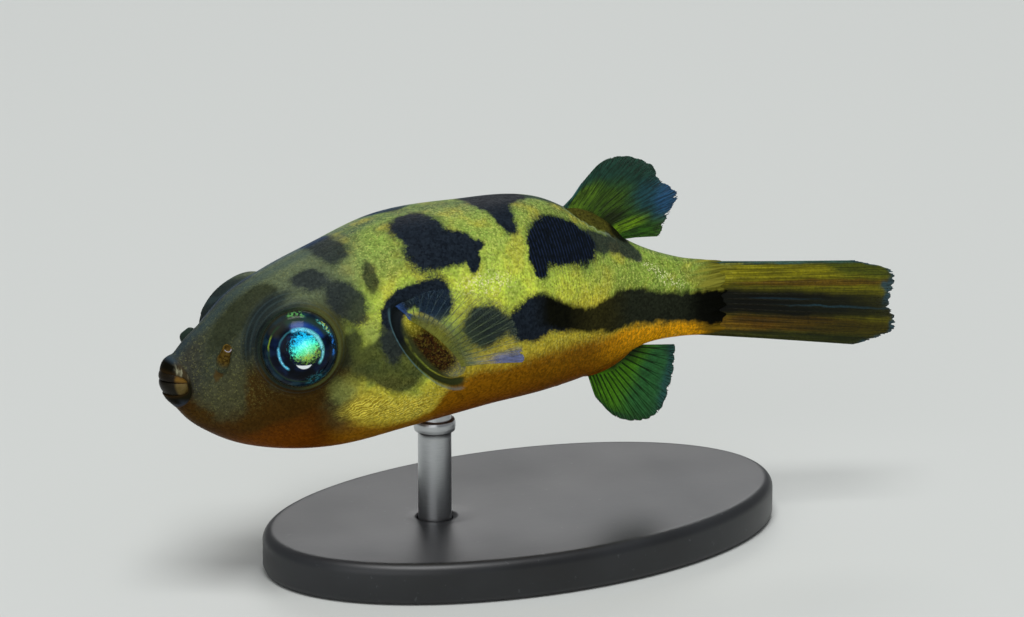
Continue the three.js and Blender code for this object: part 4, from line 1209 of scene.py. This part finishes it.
# the web's root and free edge from front to rear or from top to bottom: distance from the snout,
# distance to the right of the middle plane, and height
fin_plans = {
    "dorsal": {
        "node": "dorsal_fin", "rays": 15, "notch": (0.02, 0.09), "thick": 0.20, "ripple": 0.05,
        "root": [(15.95, 0, 4.12), (17.0, 0, 3.50), (18.05, 0, 2.85)],
        "edge": [(16.68, 0, 5.02), (17.48, 0, 5.77), (18.37, 0, 5.91), (19.3, 0, 5.53),
                 (19.62, 0, 4.95), (20.33, 0, 4.36), (20.05, 0, 3.70), (19.63, 0, 2.80)],
        "forks": (0.30, 0.62), "ray": (0.045, 0.014),
    },
    "anal": {
        "node": "anal_fin", "rays": 14, "notch": (0.03, 0.05), "thick": 0.20, "ripple": 0.05,
        "root": [(16.85, 0, -1.90), (17.6, 0, -1.70), (18.4, 0, -1.20)],
        "edge": [(17.22, 0, -3.06), (18.0, 0, -3.88), (19.0, 0, -4.15), (19.75, 0, -3.75),
                 (20.18, 0, -2.40), (20.28, 0, -1.32)],
        "forks": (0.40, 0.68), "ray": (0.050, 0.016),
    },
    "caudal": {
        "node": "caudal_fin", "rays": 15, "notch": (0.025, 0.025), "thick": 0.11, "ripple": 0.03,
        "root": [(21.1, 0, 1.74), (21.3, 0, 0.35), (21.1, 0, -0.99)],
        "edge": [(26.95, 0, 1.46), (28.3, 0, 1.04), (28.43, 0, 0.45), (28.27, 0, -0.23),
                 (28.5, 0, -0.85), (28.35, 0, -1.34), (27.0, 0, -1.74)],
        "forks": (0.26, 0.55), "ray": (0.060, 0.018),
    },
    "pectoral_left": {
        "node": "pectoral_fin_left", "rays": 18, "notch": (0.04, 0.10), "thick": 0.12,
        "ripple": 0.04,
        "root": [(8.12, -3.35, 2.1), (8.8, -3.5, 1.55), (9.5, -3.5, 0.75), (10.05, -3.35, 0.05)],
        "edge": [(7.05, -4.3, 2.87), (8.15, -5.0, 3.50), (9.5, -5.2, 3.35), (10.8, -5.2, 2.70),
                 (11.6, -4.8, 1.50), (12.2, -4.3, 0.10)],
        "forks": (0.45, 0.75), "ray": (0.026, 0.009),
    },
}
fin_plans["pectoral_right"] = dict(
    fin_plans["pectoral_left"], node="pectoral_fin_right",
    root=[(x, -y, z) for x, y, z in fin_plans["pectoral_left"]["root"]],
    # the two fins beat in turn: while the left one stands spread, the right one is swept back
    edge=[(8.75, 4.7, 2.3), (9.7, 5.1, 2.4), (10.8, 5.2, 2.2), (11.7, 5.0, 1.6), (12.2, 4.7, 0.7),
          (12.2, 4.3, -0.2)],
)


def web_middle(plan, along, out):
    """Points of a web's middle surface: along the fin from 0 to 1, and out to its edge."""
    root = smooth_rows(np.arange(len(plan["root"])), plan["root"], along * (len(plan["root"]) - 1))
    edge = smooth_rows(np.arange(len(plan["edge"])), plan["edge"], along * (len(plan["edge"]) - 1))
    sheet = root[:, None] + (edge - root)[:, None] * out[None, :, None]
    across, outwards = np.gradient(sheet, axis=0), np.gradient(sheet, axis=1)
    normal = np.cross(across, outwards)
    normal /= np.linalg.norm(normal, axis=-1, keepdims=True)
    wave = np.sin(2 * np.pi * (1.3 * along[:, None] + 0.7 * out[None])) * out[None] ** 2
    return sheet + normal * (plan["ripple"] * wave)[..., None], normal


def fin_web(name, plan):
    """The web as thin leaf-shaped loops, one after another along the fin."""
    along = np.linspace(0, 1, plan["rays"] * STEPS_PER_RAY + 1)
    out = np.linspace(0, 1, WEB_STEPS)
    middle, normal = web_middle(plan, along, out)
    between = np.abs(along * plan["rays"] % 1 - 0.5) * 2
    front, rear = plan["notch"]
    depth = front + (rear - front) * ease(along, 0.5, 0.9)
    depth = depth * (0.7 + 0.3 * np.sin(37 * along))
    fringe = np.abs(np.sin(4 * np.pi * plan["rays"] * along))
    reach = 1 - depth * between**2 - 0.3 * depth * fringe
    root = middle[:, :1]
    middle = root + (middle - root) * reach[:, None, None]
    half = plan["thick"] + (WEB_EDGE - plan["thick"]) * ease(out, -0.05, 0.22)
    half = np.maximum(half * np.sqrt(np.clip(1 - out**8, 0, 1)), 0.004)
    shift = normal * half[None, :, None]
    loops = np.concatenate([middle + shift, (middle - shift)[:, ::-1]], axis=1)
    place = np.stack(np.meshgrid(along, out, indexing="ij"), axis=-1)
    place[..., 1] *= reach[:, None]
    fin_field = np.concatenate([place, place[:, ::-1]], axis=1)
    fin_field = np.concatenate([fin_field, 0 * fin_field[..., :1]], axis=-1)
    return ring_mesh(name, [(placed(loops), {"fin": fin_field}, WHOLE_MAP)])


def geometry_node(tree, kind, links=None, **settings):
    """Adds a geometry node, with its settings and its inputs."""
    node = tree.nodes.new("GeometryNode" + kind)
    for setting, value in settings.items():
        setattr(node, setting, value)
    return feed(tree, node, links or {})


STRANDS = 4  # strands that each ray ends in, after its two forks
STRAND_POINTS = 44
SURFACE_STEPS = 30  # rows of the surface that the rays are laid on


def ray_tree():
    """Lays forking rays over a fin's middle surface: four strands for each ray, as thin tubes."""
    tree = bpy.data.node_groups.new("fin rays", "GeometryNodeTree")
    sockets = (
        ("Surface", "Geometry"), ("Rays", "Int"), ("First fork", "Float"), ("Second fork", "Float"),
        ("Root radius", "Float"), ("Tip radius", "Float"), ("Seed", "Int"),
        ("Material", "Material"),
    )
    for name, kind in sockets:
        tree.interface.new_socket(name, in_out="INPUT", socket_type="NodeSocket" + kind)
    tree.interface.new_socket("Rays", in_out="OUTPUT", socket_type="NodeSocketGeometry")
    given = tree.nodes.new("NodeGroupInput").outputs
    result = tree.nodes.new("NodeGroupOutput")

    strands = times(tree, given["Rays"], STRANDS)
    starts = geometry_node(tree, "Points", {"Count": strands})
    line = geometry_node(tree, "CurvePrimitiveLine", {"End": (0, 0, MM)})
    fine_line = geometry_node(
        tree, "ResampleCurve", {"Curve": line.outputs[0], "Count": STRAND_POINTS},
    )
    copies = geometry_node(
        tree, "InstanceOnPoints", {"Points": starts.outputs[0], "Instance": fine_line.outputs[0]},
    )
    lines = geometry_node(tree, "RealizeInstances", {"Geometry": copies.outputs[0]})

    # which strand of which ray a point belongs to
    position_index = geometry_node(tree, "InputIndex")
    strand = geometry_node(tree, "CurveOfPoint", {"Point Index": position_index.outputs[0]})
    number = strand.outputs["Curve Index"]
    ray = calc(tree, "FLOOR", calc(tree, "DIVIDE", number, STRANDS))
    kind = calc(tree, "MODULO", number, STRANDS)
    far_pair = calc(tree, "GREATER_THAN", kind, 1.5)
    odd = calc(tree, "MODULO", kind, 2.0)
    first_side = calc(tree, "SUBTRACT", times(tree, far_pair, 2.0), 1.0)
    second_side = calc(tree, "SUBTRACT", times(tree, odd, 2.0), 1.0)

    # a strand starts at the root, at the first fork or at the second one
    late = times(tree, odd, given["Second fork"])
    even = calc(tree, "SUBTRACT", 1.0, odd)
    middle = times(tree, even, far_pair, given["First fork"])
    start = calc(tree, "ADD", late, middle)
    chance = tree.nodes.new("FunctionNodeRandomValue")
    chance.inputs[2].default_value = 0.0
    chance.inputs[3].default_value = 0.035
    tree.links.new(number, chance.inputs["ID"])
    tree.links.new(given["Seed"], chance.inputs["Seed"])
    end = calc(tree, "SUBTRACT", 1.0, chance.outputs[1])
    share = geometry_node(tree, "SplineParameter").outputs["Factor"]
    out = calc(tree, "ADD", start, times(tree, share, calc(tree, "SUBTRACT", end, start)))

    # forks lean away from each other
    opening = times(tree, soft_step(tree, out, given["First fork"], 1.15), 0.30)
    second_opening = times(tree, soft_step(tree, out, given["Second fork"], 1.15), 0.17)
    lean = calc(
        tree, "ADD", times(tree, opening, first_side), times(tree, second_opening, second_side),
    )
    across = calc(tree, "ADD", calc(tree, "ADD", ray, 0.5), lean)
    along = calc(tree, "DIVIDE", across, given["Rays"])
    place = put(tree, "CombineXYZ", {0: along, 1: out})
    position = geometry_node(tree, "InputPosition")
    web_map = geometry_node(tree, "InputNamedAttribute", {"Name": "web"}, data_type="FLOAT_VECTOR")
    sample = geometry_node(
        tree, "SampleUVSurface",
        {0: given["Surface"], 1: position.outputs[0], 2: web_map.outputs[0], 3: place.outputs[0]},
        data_type="FLOAT_VECTOR",
    )
    spread = geometry_node(
        tree, "SetPosition", {"Geometry": lines.outputs[0], "Position": sample.outputs[0]},
    )
    marked = geometry_node(
        tree, "StoreNamedAttribute",
        {"Geometry": spread.outputs[0], "Name": "fin", "Value": place.outputs[0]},
        data_type="FLOAT_VECTOR", domain="POINT",
    )
    radius = put(tree, "MapRange", {
        "Value": out, "To Min": given["Root radius"], "To Max": given["Tip radius"],
    })
    profile = geometry_node(tree, "CurvePrimitiveCircle", {"Resolution": 8, "Radius": 1.0})
    tubes = geometry_node(
        tree, "CurveToMesh",
        {"Curve": marked.outputs[0], "Profile Curve": profile.outputs[0],
         "Scale": radius.outputs[0], "Fill Caps": True},
    )
    smooth = geometry_node(tree, "SetShadeSmooth", {"Geometry": tubes.outputs[0]})
    whole = geometry_node(tree, "RealizeInstances", {"Geometry": smooth.outputs[0]})
    painted = geometry_node(
        tree, "SetMaterial", {"Geometry": whole.outputs[0], "Material": given["Material"]},
    )
    tree.links.new(painted.outputs[0], result.inputs["Rays"])
    return tree


fin_rays = ray_tree()


def lay_rays(name, plan, seed, material):
    """Makes the rays of one fin as a plain mesh."""
    along = np.linspace(0, 1, plan["rays"] * STEPS_PER_RAY // 2 + 1)
    out = np.linspace(0, 1, SURFACE_STEPS)
    middle, _ = web_middle(plan, along, out)
    rows, columns = middle.shape[:2]
    corner = (np.arange(rows - 1)[:, None] * columns + np.arange(columns - 1)[None]).ravel()
    faces = np.stack([corner, corner + 1, corner + columns + 1, corner + columns], -1)
    mesh = bpy.data.meshes.new(name)
    mesh.from_pydata(placed(middle).reshape(-1, 3).tolist(), [], faces.tolist())
    chart = np.stack(np.meshgrid(along, out, indexing="ij"), axis=-1).reshape(-1, 2)
    web = mesh.uv_layers.new(name="web")
    web.data.foreach_set("uv", chart[faces.ravel()].astype(np.float32).ravel())
    piece = bpy.data.objects.new(name, mesh)
    bpy.context.scene.collection.objects.link(piece)
    modifier = piece.modifiers.new("rays", "NODES")
    modifier.node_group = fin_rays
    sockets = fin_rays.interface.items_tree
    identifiers = {item.name: item.identifier for item in sockets if item.in_out == "INPUT"}
    wanted = {
        "Rays": plan["rays"], "First fork": plan["forks"][0], "Second fork": plan["forks"][1],
        "Root radius": plan["ray"][0] * MM, "Tip radius": plan["ray"][1] * MM, "Seed": seed,
        "Material": material,
    }
    for socket, value in wanted.items():
        modifier[identifiers[socket]] = value
    bpy.context.view_layer.update()
    shown = piece.evaluated_get(bpy.context.evaluated_depsgraph_get())
    rays = bpy.data.meshes.new_from_object(shown)
    piece.modifiers.clear()
    piece.data = rays
    rays.name = name
    return piece


def fin_paints(fin_name, colours, tint, web_alpha, ray_alpha, roughness=0.45, streak_share=0.35):
    """The web's and the rays' materials. Colours are (along, out, half sizes, colour, share), the
    tint is the rays' own colour and its share, and an alpha is (out, opacity) from root to edge."""
    paints = []
    for kind in ("web", "rays"):
        material, tree, shader = new_material(
            fin_name + "_" + kind, roughness=roughness, Specular_IOR_Level=0.12,
        )
        place, along, out, _ = read(tree, "fin")
        object_place = put(tree, "TexCoord").outputs["Object"]
        shift = cloud(tree, object_place, 1.4 / MM, 2.0)
        centred = vector(tree, "SUBTRACT", shift.outputs["Color"], (0.5, 0.5, 0.5))
        small = vector(tree, "MULTIPLY", centred, (0.05, 0.22, 0.0))
        loose = vector(tree, "ADD", place, small)
        flat = vector(tree, "MULTIPLY", loose, (1, 1, 0))
        colour = paint(colours[0])
        for middle_along, middle_out, half_along, half_out, code, share in colours[1:]:
            links = {"Place": flat, "Middle": (middle_along, middle_out, 0),
                     "Spread": (1 / half_along, 1 / half_out, 0)}
            field = use_group(tree, mark, links).outputs["Field"]
            zone = soft_step(tree, field, 0.05, 0.6)
            colour = coat(tree, times(tree, zone, share), colour, paint(code))
        in_mm = scaled(tree, object_place, 1 / MM)
        grain = use_group(tree, granules, {"Place": in_mm, "Grains per mm": 16.0})
        speckle = calc(tree, "ADD", times(tree, grain.outputs["Lightness"], 1.1), 0.45)
        colour = coat(tree, 0.6, colour, speckle, "MULTIPLY")
        # fine lines that run out with the rays
        lines_place = vector(tree, "MULTIPLY", place, (1.0, 0.06, 0.0))
        lines = cloud(tree, lines_place, 70.0, 2.0)
        streak = soft_step(tree, lines.outputs["Fac"], 0.42, 0.62)
        colour = coat(tree, times(tree, streak, streak_share), colour, paint("0f1408"))
        relief = lines.outputs["Fac"]
        if kind == "rays":
            colour = coat(tree, tint[1], colour, paint(tint[0]))
            joints = calc(tree, "SINE", times(tree, out, 2 * math.pi * RAY_JOINTS))
            at_joint = times(tree, soft_step(tree, joints, 0.5, 1.0), 0.2)
            colour = coat(tree, at_joint, colour, paint("0c0f08"))
            relief = calc(tree, "SUBTRACT", relief, joints)
        opacity = curve(tree, out, 0.0, 1.0, ray_alpha if kind == "rays" else web_alpha, 1.0)
        # the first ray and the lowest ones lie close together, so that they show more
        lowest = times(tree, soft_step(tree, along, 0.88, 0.97), soft_step(tree, out, 0.35, 0.7))
        outer_rays = calc(tree, "MAXIMUM", soft_step(tree, along, 0.05, 0.0), lowest)
        opacity = calc(tree, "MAXIMUM", opacity, times(tree, outer_rays, 0.62))
        tree.links.new(opacity, shader.inputs["Alpha"])
        tree.links.new(colour, shader.inputs["Base Color"])
        emboss(tree, shader, relief, 0.4, 0.01)
        paints.append(material)
    return paints


solid_web = [(0, 1.0), (0.3, 0.98), (0.8, 0.93), (1, 0.85)]
solid_rays = [(0, 1.0), (0.5, 1.0), (0.95, 0.9), (1, 0.8)]
dorsal_paints = fin_paints("dorsal", [
    "33541a", (0.25, 0.95, 0.60, 0.42, "1f4438", 0.95), (0.15, 0.30, 0.20, 0.28, "587a1e", 0.85),
    (0.45, 0.30, 0.18, 0.30, "3e5a16", 0.8), (0.25, 0.0, 0.45, 0.14, "3a2c0e", 0.9),
    (0.62, 0.10, 0.12, 0.35, "1c2408", 0.9), (0.82, 0.28, 0.10, 0.34, "6a9014", 0.95),
    (0.96, 0.45, 0.08, 0.55, "2f5a10", 0.8), (0.68, 0.80, 0.20, 0.30, "1f4a52", 0.9),
    (0.74, 0.98, 0.15, 0.30, "2a5880", 0.95), (0.0, 0.6, 0.05, 0.8, "2a6664", 0.8),
], ("16220c", 0.45), solid_web, [(0, 1.0), (0.5, 0.95), (0.95, 0.9), (1, 0.8)], streak_share=0.6)
anal_paints = fin_paints("anal", [
    "46820f", (0.40, 0.45, 0.50, 0.35, "5a9c14", 0.8), (0.5, 0.02, 0.8, 0.14, "1c1808", 0.95),
    (0.70, 0.80, 0.45, 0.40, "27663a", 0.85), (0.90, 1.0, 0.40, 0.20, "1f5050", 0.85),
    (0.20, 1.0, 0.30, 0.16, "2c5f38", 0.8), (0.95, 0.12, 0.25, 0.30, "16280a", 0.85),
], ("0c1605", 0.78), solid_web, solid_rays)
caudal_paints = fin_paints("caudal", [
    "6e6a0c", (0.12, 0.16, 0.16, 0.26, "9a941c", 0.9), (0.10, 0.10, 0.14, 0.10, "a8a63e", 0.9),
    (0.16, 0.45, 0.10, 0.7, "86800e", 0.85), (0.30, 0.60, 0.045, 0.5, "5f420a", 0.8),
    (0.10, 0.95, 0.18, 0.30, "3c4a10", 0.8), (0.88, 0.10, 0.16, 0.14, "8f7418", 0.95),
    (0.82, 0.22, 0.14, 0.20, "80600c", 0.9), (0.78, 0.50, 0.14, 0.45, "4c3404", 0.9),
    (0.85, 0.85, 0.16, 0.35, "342e06", 0.85), (0.97, 0.55, 0.09, 0.9, "20280a", 0.9),
    (0.535, 0.0, 0.22, 0.45, "030402", 1.0), (0.54, 0.45, 0.19, 0.50, "050602", 1.0),
    (0.54, 0.85, 0.14, 0.4, "12160a", 0.85), (0.48, 0.42, 0.016, 0.20, "172a32", 0.7),
    (0.55, 0.72, 0.014, 0.30, "1f3c46", 0.7), (0.0, 0.6, 0.045, 0.9, "3a5c54", 0.95),
    (0.5, 1.02, 0.9, 0.06, "244a5a", 0.85),
], ("8a7c20", 0.01), [(0, 1.0), (0.4, 1.0), (0.85, 0.97), (1, 0.85)], [
    (0, 1.0), (0.5, 1.0), (0.95, 0.95), (1, 0.8),
], streak_share=0.5)
pectoral_paints = fin_paints("pectoral", [
    "7d8f74", (0.5, 0.0, 0.9, 0.22, "8d8f34", 0.95), (0.0, 0.6, 0.06, 0.9, "3c66b4", 0.95),
    (0.97, 0.8, 0.07, 0.5, "7684c4", 0.95), (0.22, 0.7, 0.20, 0.6, "2b527c", 0.9),
    (0.70, 0.5, 0.2, 0.6, "5a6a3c", 0.7),
], ("6f8068", 0.35), [(0, 0.95), (0.15, 0.60), (0.35, 0.20), (1, 0.10)], [
    (0, 0.95), (0.25, 0.45), (0.6, 0.24), (1, 0.16),
], roughness=0.4)
paints_of = {"dorsal": dorsal_paints, "anal": anal_paints, "caudal": caudal_paints}

for seed, (fin_name, plan) in enumerate(fin_plans.items()):
    web_paint, ray_paint = paints_of.get(fin_name, pectoral_paints)
    web = fin_web(fin_name + "_web", plan)
    web.data.materials.append(web_paint)
    rays = lay_rays(fin_name + "_rays", plan, seed, ray_paint)
    for piece in (web, rays):
        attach(piece, "root")
        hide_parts(plan["node"])


# ---------------------------------------------------------------- display stand
# An oval foot of satin acrylic with a softened rim and a socket, and a brushed steel rod that
# stands in it and ends in a small collar under the belly.

base_low, base_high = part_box("stand_base")
rod_low, rod_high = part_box("stand_rod")
rod_middle = np.array([(rod_low.x + rod_high.x) / 2, (rod_low.y + rod_high.y) / 2])
rod_radius = (rod_high.x - rod_low.x) / 2
base_middle = np.array([(base_low.x + base_high.x) / 2, (base_low.y + base_high.y) / 2])
base_half = np.array([base_high.x - base_low.x, base_high.y - base_low.y]) / 2
base_top = base_high.z
RIM = 0.4 * MM  # radius of the foot's upper edge
SOCKET_DEPTH = 1.1 * MM
SOCKET_GAP = 0.06 * MM
FOOT_AROUND, ROD_AROUND, ROD_ROWS = 144, 64, 90


def oval_rings(profile):
    """Rings of an oval foot: (inset from the outline, height, share of the way to the rod)."""
    turn = full_turn(FOOT_AROUND)
    circle = np.stack([np.cos(turn), np.sin(turn)], axis=-1)
    rings = []
    for inset, height, towards_rod in profile:
        oval = base_middle + circle * (base_half - inset)
        hole = rod_middle + circle * (rod_radius + SOCKET_GAP)
        flat = oval + (hole - oval) * towards_rod
        rings.append(np.column_stack([flat, np.full(FOOT_AROUND, height)]))
    return np.array(rings)


bend = np.linspace(0, np.pi / 2, 12)
profile = [
    (1.2 * MM, 0.0, 0.0), (0.25 * MM, 0.0, 0.0), (0.08 * MM, 0.06 * MM, 0.0), (0.0, 0.25 * MM, 0.0),
]
profile += [(RIM * (1 - math.cos(b)), base_top - RIM + RIM * math.sin(b), 0.0) for b in bend]
profile += [(RIM, base_top, share) for share in (0.02, 0.2, 0.45, 0.7, 0.9, 0.98)]
profile += [(RIM, base_top - drop, 1.0) for drop in (0.03 * MM, 0.2 * MM, SOCKET_DEPTH)]
foot_rings = oval_rings(profile)
foot = ring_mesh("stand_foot", [(foot_rings, {}, WHOLE_MAP)])

foot_paint, tree, shader = new_material("foot_paint", roughness=0.4, Specular_IOR_Level=0.45)
foot_place = put(tree, "TexCoord").outputs["Object"]
haze = cloud(tree, foot_place, 0.26 / MM, 4.0).outputs["Fac"]
dust = cloud(tree, foot_place, 2.6 / MM, 3.0, 0.7).outputs["Fac"]
foot_colour = coat(tree, soft_step(tree, haze, 0.3, 0.7), paint("17181a"), paint("222427"))
foot_colour = coat(tree, soft_step(tree, dust, 0.66, 0.74), foot_colour, paint("3a3c3f"))
tree.links.new(foot_colour, shader.inputs["Base Color"])
foot_roughness = put(tree, "MapRange", {"Value": haze, "To Min": 0.3, "To Max": 0.5})
tree.links.new(foot_roughness.outputs[0], shader.inputs["Roughness"])
emboss(tree, shader, dust, 0.12, 0.02)
foot.data.materials.append(foot_paint)
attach(foot, "root")
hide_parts("stand_base")

# height from the rod's foot to its head, and radius
collar = [
    (0.0, 0.55), (0.0, 0.94), (0.03, 1.0), (0.86, 1.0), (0.875, 1.06), (0.88, 1.22), (0.905, 1.25),
    (0.94, 1.25), (0.96, 1.2), (0.965, 1.0), (1.03, 0.96), (1.035, 0.5),
]
rod_places = np.linspace(0, len(collar) - 1, ROD_ROWS)
rod_profile = np.column_stack([
    np.interp(rod_places, np.arange(len(collar)), [c[k] for c in collar]) for k in (0, 1)
])
turn = full_turn(ROD_AROUND)
rod_rings = np.stack([
    rod_middle[0] + rod_profile[:, [1]] * rod_radius * np.cos(turn),
    rod_middle[1] + rod_profile[:, [1]] * rod_radius * np.sin(turn),
    rod_low.z + rod_profile[:, [0]] * (rod_high.z - rod_low.z) + 0 * turn,
], axis=-1)
turned_place = np.stack([
    0 * rod_rings[..., 0] + turn, rod_profile[:, [0]] + 0 * turn, 0 * rod_rings[..., 0],
], axis=-1)
rod = ring_mesh("stand_post", [(rod_rings, {"lathe": turned_place}, WHOLE_MAP)])

rod_paint, tree, shader = new_material("rod_paint", roughness=0.28, Metallic=1.0)
lathe_place = read(tree, "lathe")[0]
brush_place = vector(tree, "MULTIPLY", lathe_place, (0.2, 60.0, 0.0))
brushing = cloud(tree, brush_place, 6.0, 3.0, 0.6).outputs["Fac"]
steel = coat(tree, brushing, paint("9a9da0"), paint("d2d4d6"))
tree.links.new(steel, shader.inputs["Base Color"])
rod_roughness = put(tree, "MapRange", {"Value": brushing, "To Min": 0.22, "To Max": 0.42})
tree.links.new(rod_roughness.outputs[0], shader.inputs["Roughness"])
emboss(tree, shader, brushing, 0.2, 0.01)
rod.data.materials.append(rod_paint)
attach(rod, "root")
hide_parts("stand_rod")


# ---------------------------------------------------------------- floor, lights and camera
# A plain pale floor, three soft studio lights, and a camera a little above the fish that looks
# at its left side from slightly ahead.


def soft_light(name, place, aim, width, power):
    """A square soft light at a place in metres, turned to its aim."""
    lamp = bpy.data.lights.new(name, "AREA")
    lamp.size = width
    lamp.energy = power
    holder = bpy.data.objects.new(name, lamp)
    holder.location = place
    holder.rotation_euler = (Vector(aim) - Vector(place)).to_track_quat("-Z", "Y").to_euler()
    bpy.context.scene.collection.objects.link(holder)


FLOOR_REACH = 2.5  # metres to each side
corners = ((-1, -1), (1, -1), (1, 1), (-1, 1))
floor_corners = [(FLOOR_REACH * x, FLOOR_REACH * y, 0) for x, y in corners]
floor_mesh = bpy.data.meshes.new("floor")
floor_mesh.from_pydata(floor_corners, [], [(0, 1, 2, 3)])
floor = bpy.data.objects.new("floor", floor_mesh)
bpy.context.scene.collection.objects.link(floor)
floor_paint, tree, shader = new_material("floor_paint", roughness=0.75)
shader.inputs["Base Color"].default_value = paint("cfd2cf")
floor_mesh.materials.append(floor_paint)

AIM_X, AIM_Z = 14.0, 0.65  # what the lights and the camera are aimed at
fish_middle = snout_tip + np.array([AIM_X, 0.0, AIM_Z]) * MM
soft_light("key_light", (-0.07, -0.12, 0.42), fish_middle, 0.20, 1.3)
soft_light("fill_light", (-0.34, -0.34, 0.12), fish_middle, 0.45, 0.75)
soft_light("rim_light", (0.16, 0.26, 0.20), fish_middle, 0.16, 0.25)

room = bpy.data.worlds.new("studio")
room.use_nodes = True
room.node_tree.nodes["Background"].inputs["Color"].default_value = (0.80, 0.82, 0.84, 1)
room.node_tree.nodes["Background"].inputs["Strength"].default_value = 0.32
bpy.context.scene.world = room
bpy.context.scene.view_settings.view_transform = "Standard"

azimuth, elevation, distance = math.radians(-28.8), math.radians(16.9), 0.2
back = np.array([
    math.sin(azimuth) * math.cos(elevation),
    -math.cos(azimuth) * math.cos(elevation),
    math.sin(elevation),
])
lens = bpy.data.cameras.new("camera")
WIDTHS_AWAY = 5.45  # the camera's distance over the width of what it takes in there
lens.sensor_width = 36
lens.lens = lens.sensor_width * WIDTHS_AWAY
lens.clip_start = 0.01
lens.dof.use_dof = False
camera = bpy.data.objects.new("camera", lens)
camera.location = fish_middle + back * distance
camera.rotation_euler = Vector(-back).to_track_quat("-Z", "Y").to_euler()
bpy.context.scene.collection.objects.link(camera)
bpy.context.scene.camera = camera
